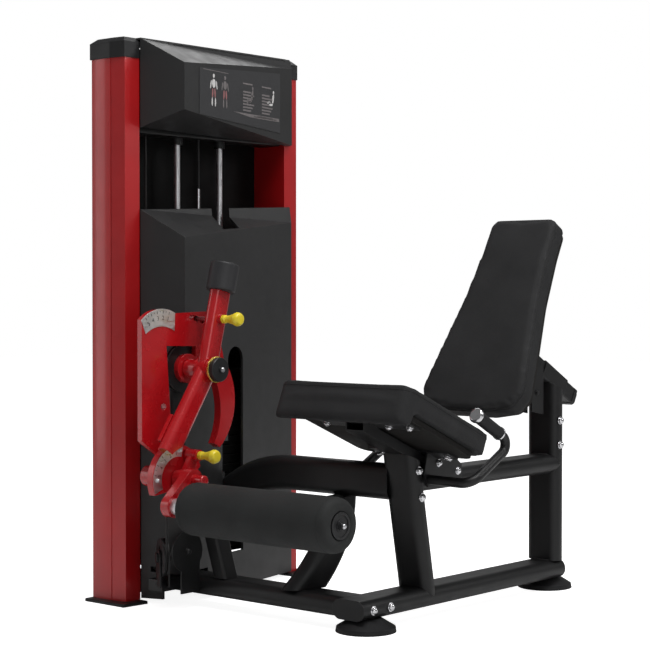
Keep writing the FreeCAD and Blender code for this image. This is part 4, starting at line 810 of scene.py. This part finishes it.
def build_placard():
    """Generic instruction panel: two standing figures, two seated ones beside bars, a pale wedge."""
    centre, normal = biggest_face("placard", X_AXIS)
    corners = [v.co for v in NODES["placard"].data.vertices if abs((v.co - centre).dot(normal)) < 0.0004]
    up = (Z_AXIS - normal * normal.z).normalized()
    right = up.cross(normal)
    left_edge = min((c - centre).dot(right) for c in corners)
    right_edge = max((c - centre).dot(right) for c in corners)
    low_edge = min((c - centre).dot(up) for c in corners)
    origin = centre + right * left_edge + up * low_edge
    width = right_edge - left_edge
    figure_scale = 0.35
    rise = 0.040
    height = 0.100
    lift = normal * 0.0003

    def at(u, v):
        """Point on the panel from shares of its width and height."""
        return origin + right * (u * width) + up * (rise + v * height)

    def blob(builder, u, v, wide, tall, lean=0.0, steps=14):
        """Rounded shape with its width and height scaled to the panel's figures, leaning by an angle."""
        middle = at(u, v)
        points = []
        for k in range(steps):
            a = 2 * math.pi * k / steps
            x, y = figure_scale * wide * math.cos(a), figure_scale * tall * math.sin(a)
            across = x * math.cos(lean) - y * math.sin(lean)
            points.append(middle + right * across + up * (x * math.sin(lean) + y * math.cos(lean)))
        builder.slab(points, lift)

    def bar(builder, u0, v0, u1, v1):
        builder.slab([at(u0, v0), at(u1, v0), at(u1, v1), at(u0, v1)], lift)

    def standing(u, look, name):
        figure, thighs = Builder(), Builder()
        blob(figure, u, 0.86, 0.013, 0.016)
        blob(figure, u, 0.66, 0.024, 0.034)
        for side in (-1, 1):
            blob(figure, u + side * 0.034, 0.62, 0.007, 0.034, side * 0.22)
            blob(thighs, u + side * 0.014, 0.40, 0.010, 0.036, side * 0.08)
            blob(figure, u + side * 0.019, 0.16, 0.008, 0.034)
        figure.build(name, look, "frame", "placard_print")
        thighs.build(name + "_thighs", "ink_rose", "frame", "placard_print")

    def seated(u, v, look, name, kick):
        figure = Builder()
        blob(figure, u + 0.012, v + 0.30, 0.011, 0.013)
        blob(figure, u + 0.006, v + 0.12, 0.013, 0.040, -0.25)
        blob(figure, u - 0.022, v - 0.06, 0.030, 0.010, 0.12)
        blob(figure, u - 0.052, v - 0.06 + kick * 0.06, 0.008, 0.028, -0.3 - kick)
        figure.build(name, look, "frame", "placard_print")

    standing(0.165, "ink_white", "figure_front")
    standing(0.30, "ink_grey", "figure_back")
    lines = Builder()
    bar(lines, 0.04, 0.99, 0.34, 1.005)
    for left in (0.52, 0.76):
        bar(lines, left, 0.80, left + 0.12, 0.84)
        for row in range(7):
            v = 0.06 + row * 0.085
            bar(lines, left, v, left + 0.10 + 0.02 * (row % 3), v + 0.045)
    lines.build("placard_lines", "ink_grey", "frame", "placard_print")
    seated(0.63, 0.42, "ink_grey", "figure_seated", 0.0)
    seated(0.90, 0.42, "ink_white", "figure_lifting", 1.0)
    wedge = Builder()
    wedge.slab([at(0.40, 0.0), at(0.62, -0.09), at(0.985, -0.09), at(0.985, 0.0)], lift)
    wedge.build("placard_wedge", "ink_grey", "frame", "placard_print")
    rows = Builder()
    bar(rows, 0.66, -0.065, 0.95, -0.045)
    bar(rows, 0.70, -0.035, 0.90, -0.02)
    rows.build("placard_wedge_lines", "ink_dark", "frame", "placard_print")


# ---------------------------------------------------------------- stage, light and camera


def build_stage():
    reach = 14.0
    mesh = bpy.data.meshes.new("floor")
    corners = [(-reach, -reach, 0), (reach, -reach, 0), (reach, reach, 0), (-reach, reach, 0)]
    mesh.from_pydata(corners, [], [(0, 1, 2, 3)])
    floor = bpy.data.objects.new("floor", mesh)
    floor.location.z = -0.0005
    bpy.context.scene.collection.objects.link(floor)
    material, tree, shader = start_material("floor_white")
    shader.inputs["Base Color"].default_value = (0.86, 0.86, 0.86, 1)
    shader.inputs["Roughness"].default_value = 0.9
    shader.inputs["Specular IOR Level"].default_value = 0.1
    glow = add_node(tree, "ShaderNodeEmission", Color=(1, 1, 1, 1), Strength=0.9)
    path = tree.nodes.new("ShaderNodeLightPath")
    seen = tree.nodes.new("ShaderNodeMixShader")
    lit = tree.nodes.new("ShaderNodeAddShader")
    tree.links.new(shader.outputs[0], lit.inputs[0])
    tree.links.new(glow.outputs[0], lit.inputs[1])
    tree.links.new(path.outputs["Is Camera Ray"], seen.inputs[0])
    tree.links.new(shader.outputs[0], seen.inputs[1])
    tree.links.new(lit.outputs[0], seen.inputs[2])
    tree.links.new(seen.outputs[0], tree.nodes["Material Output"].inputs["Surface"])
    mesh.materials.append(material)


def add_light(name, place, target, size, power):
    light = bpy.data.lights.new(name, "AREA")
    light.shape = "RECTANGLE"
    light.size, light.size_y = size
    light.energy = power
    lamp = bpy.data.objects.new(name, light)
    lamp.location = place
    lamp.rotation_euler = (Vector(target) - Vector(place)).to_track_quat("-Z", "Y").to_euler()
    bpy.context.scene.collection.objects.link(lamp)


def build_light():
    world = bpy.data.worlds.new("studio")
    bpy.context.scene.world = world
    world.use_nodes = True
    tree = world.node_tree
    dim = tree.nodes["Background"]
    dim.inputs["Color"].default_value = (1, 1, 1, 1)
    dim.inputs["Strength"].default_value = 0.17
    white = add_node(tree, "ShaderNodeBackground", Color=(1, 1, 1, 1), Strength=1.0)
    mix = tree.nodes.new("ShaderNodeMixShader")
    path = tree.nodes.new("ShaderNodeLightPath")
    tree.links.new(path.outputs["Is Camera Ray"], mix.inputs[0])
    tree.links.new(dim.outputs[0], mix.inputs[1])
    tree.links.new(white.outputs[0], mix.inputs[2])
    tree.links.new(mix.outputs[0], tree.nodes["World Output"].inputs["Surface"])
    add_light("overhead", (1.4, -0.6, 4.4), (0.0, 0, 0.6), (2.6, 2.6), 150)
    add_light("left_panel", (-3.6, -3.0, 1.0), (-0.4, -0.4, 0.8), (1.2, 3.4), 16)
    add_light("back_high", (-2.4, 2.8, 3.4), (-0.35, -0.15, 1.3), (1.8, 1.8), 26)
    add_light("right_panel", (3.6, 2.6, 2.8), (-0.3, -0.2, 1.0), (1.4, 1.4), 30)
    add_light("front_fill", (4.4, -2.4, 1.6), (0.2, 0, 0.6), (2.0, 2.0), 16)


def build_camera():
    data = bpy.data.cameras.new("camera")
    data.lens = 95.2
    data.sensor_width = 36.0
    data.clip_end = 60
    camera = bpy.data.objects.new("camera", data)
    camera.location = (2.98325, -3.52268, 0.8291)
    camera.rotation_euler = (math.radians(88.87), 0, math.radians(41.02))
    bpy.context.scene.collection.objects.link(camera)
    bpy.context.scene.camera = camera


dress_frame()
build_seat_and_back()
build_roller()
build_pull_knob("start_pin", "start_lock", "start_pin")
build_pull_knob("lever_pin", "lever_lock", "lever_pin")
build_rings()
build_stem_cable()
build_welds()
build_start_scale()
build_lever_scale()
build_placard()
build_stage()
build_light()
build_camera()
bpy.context.scene.view_settings.view_transform = "Standard"
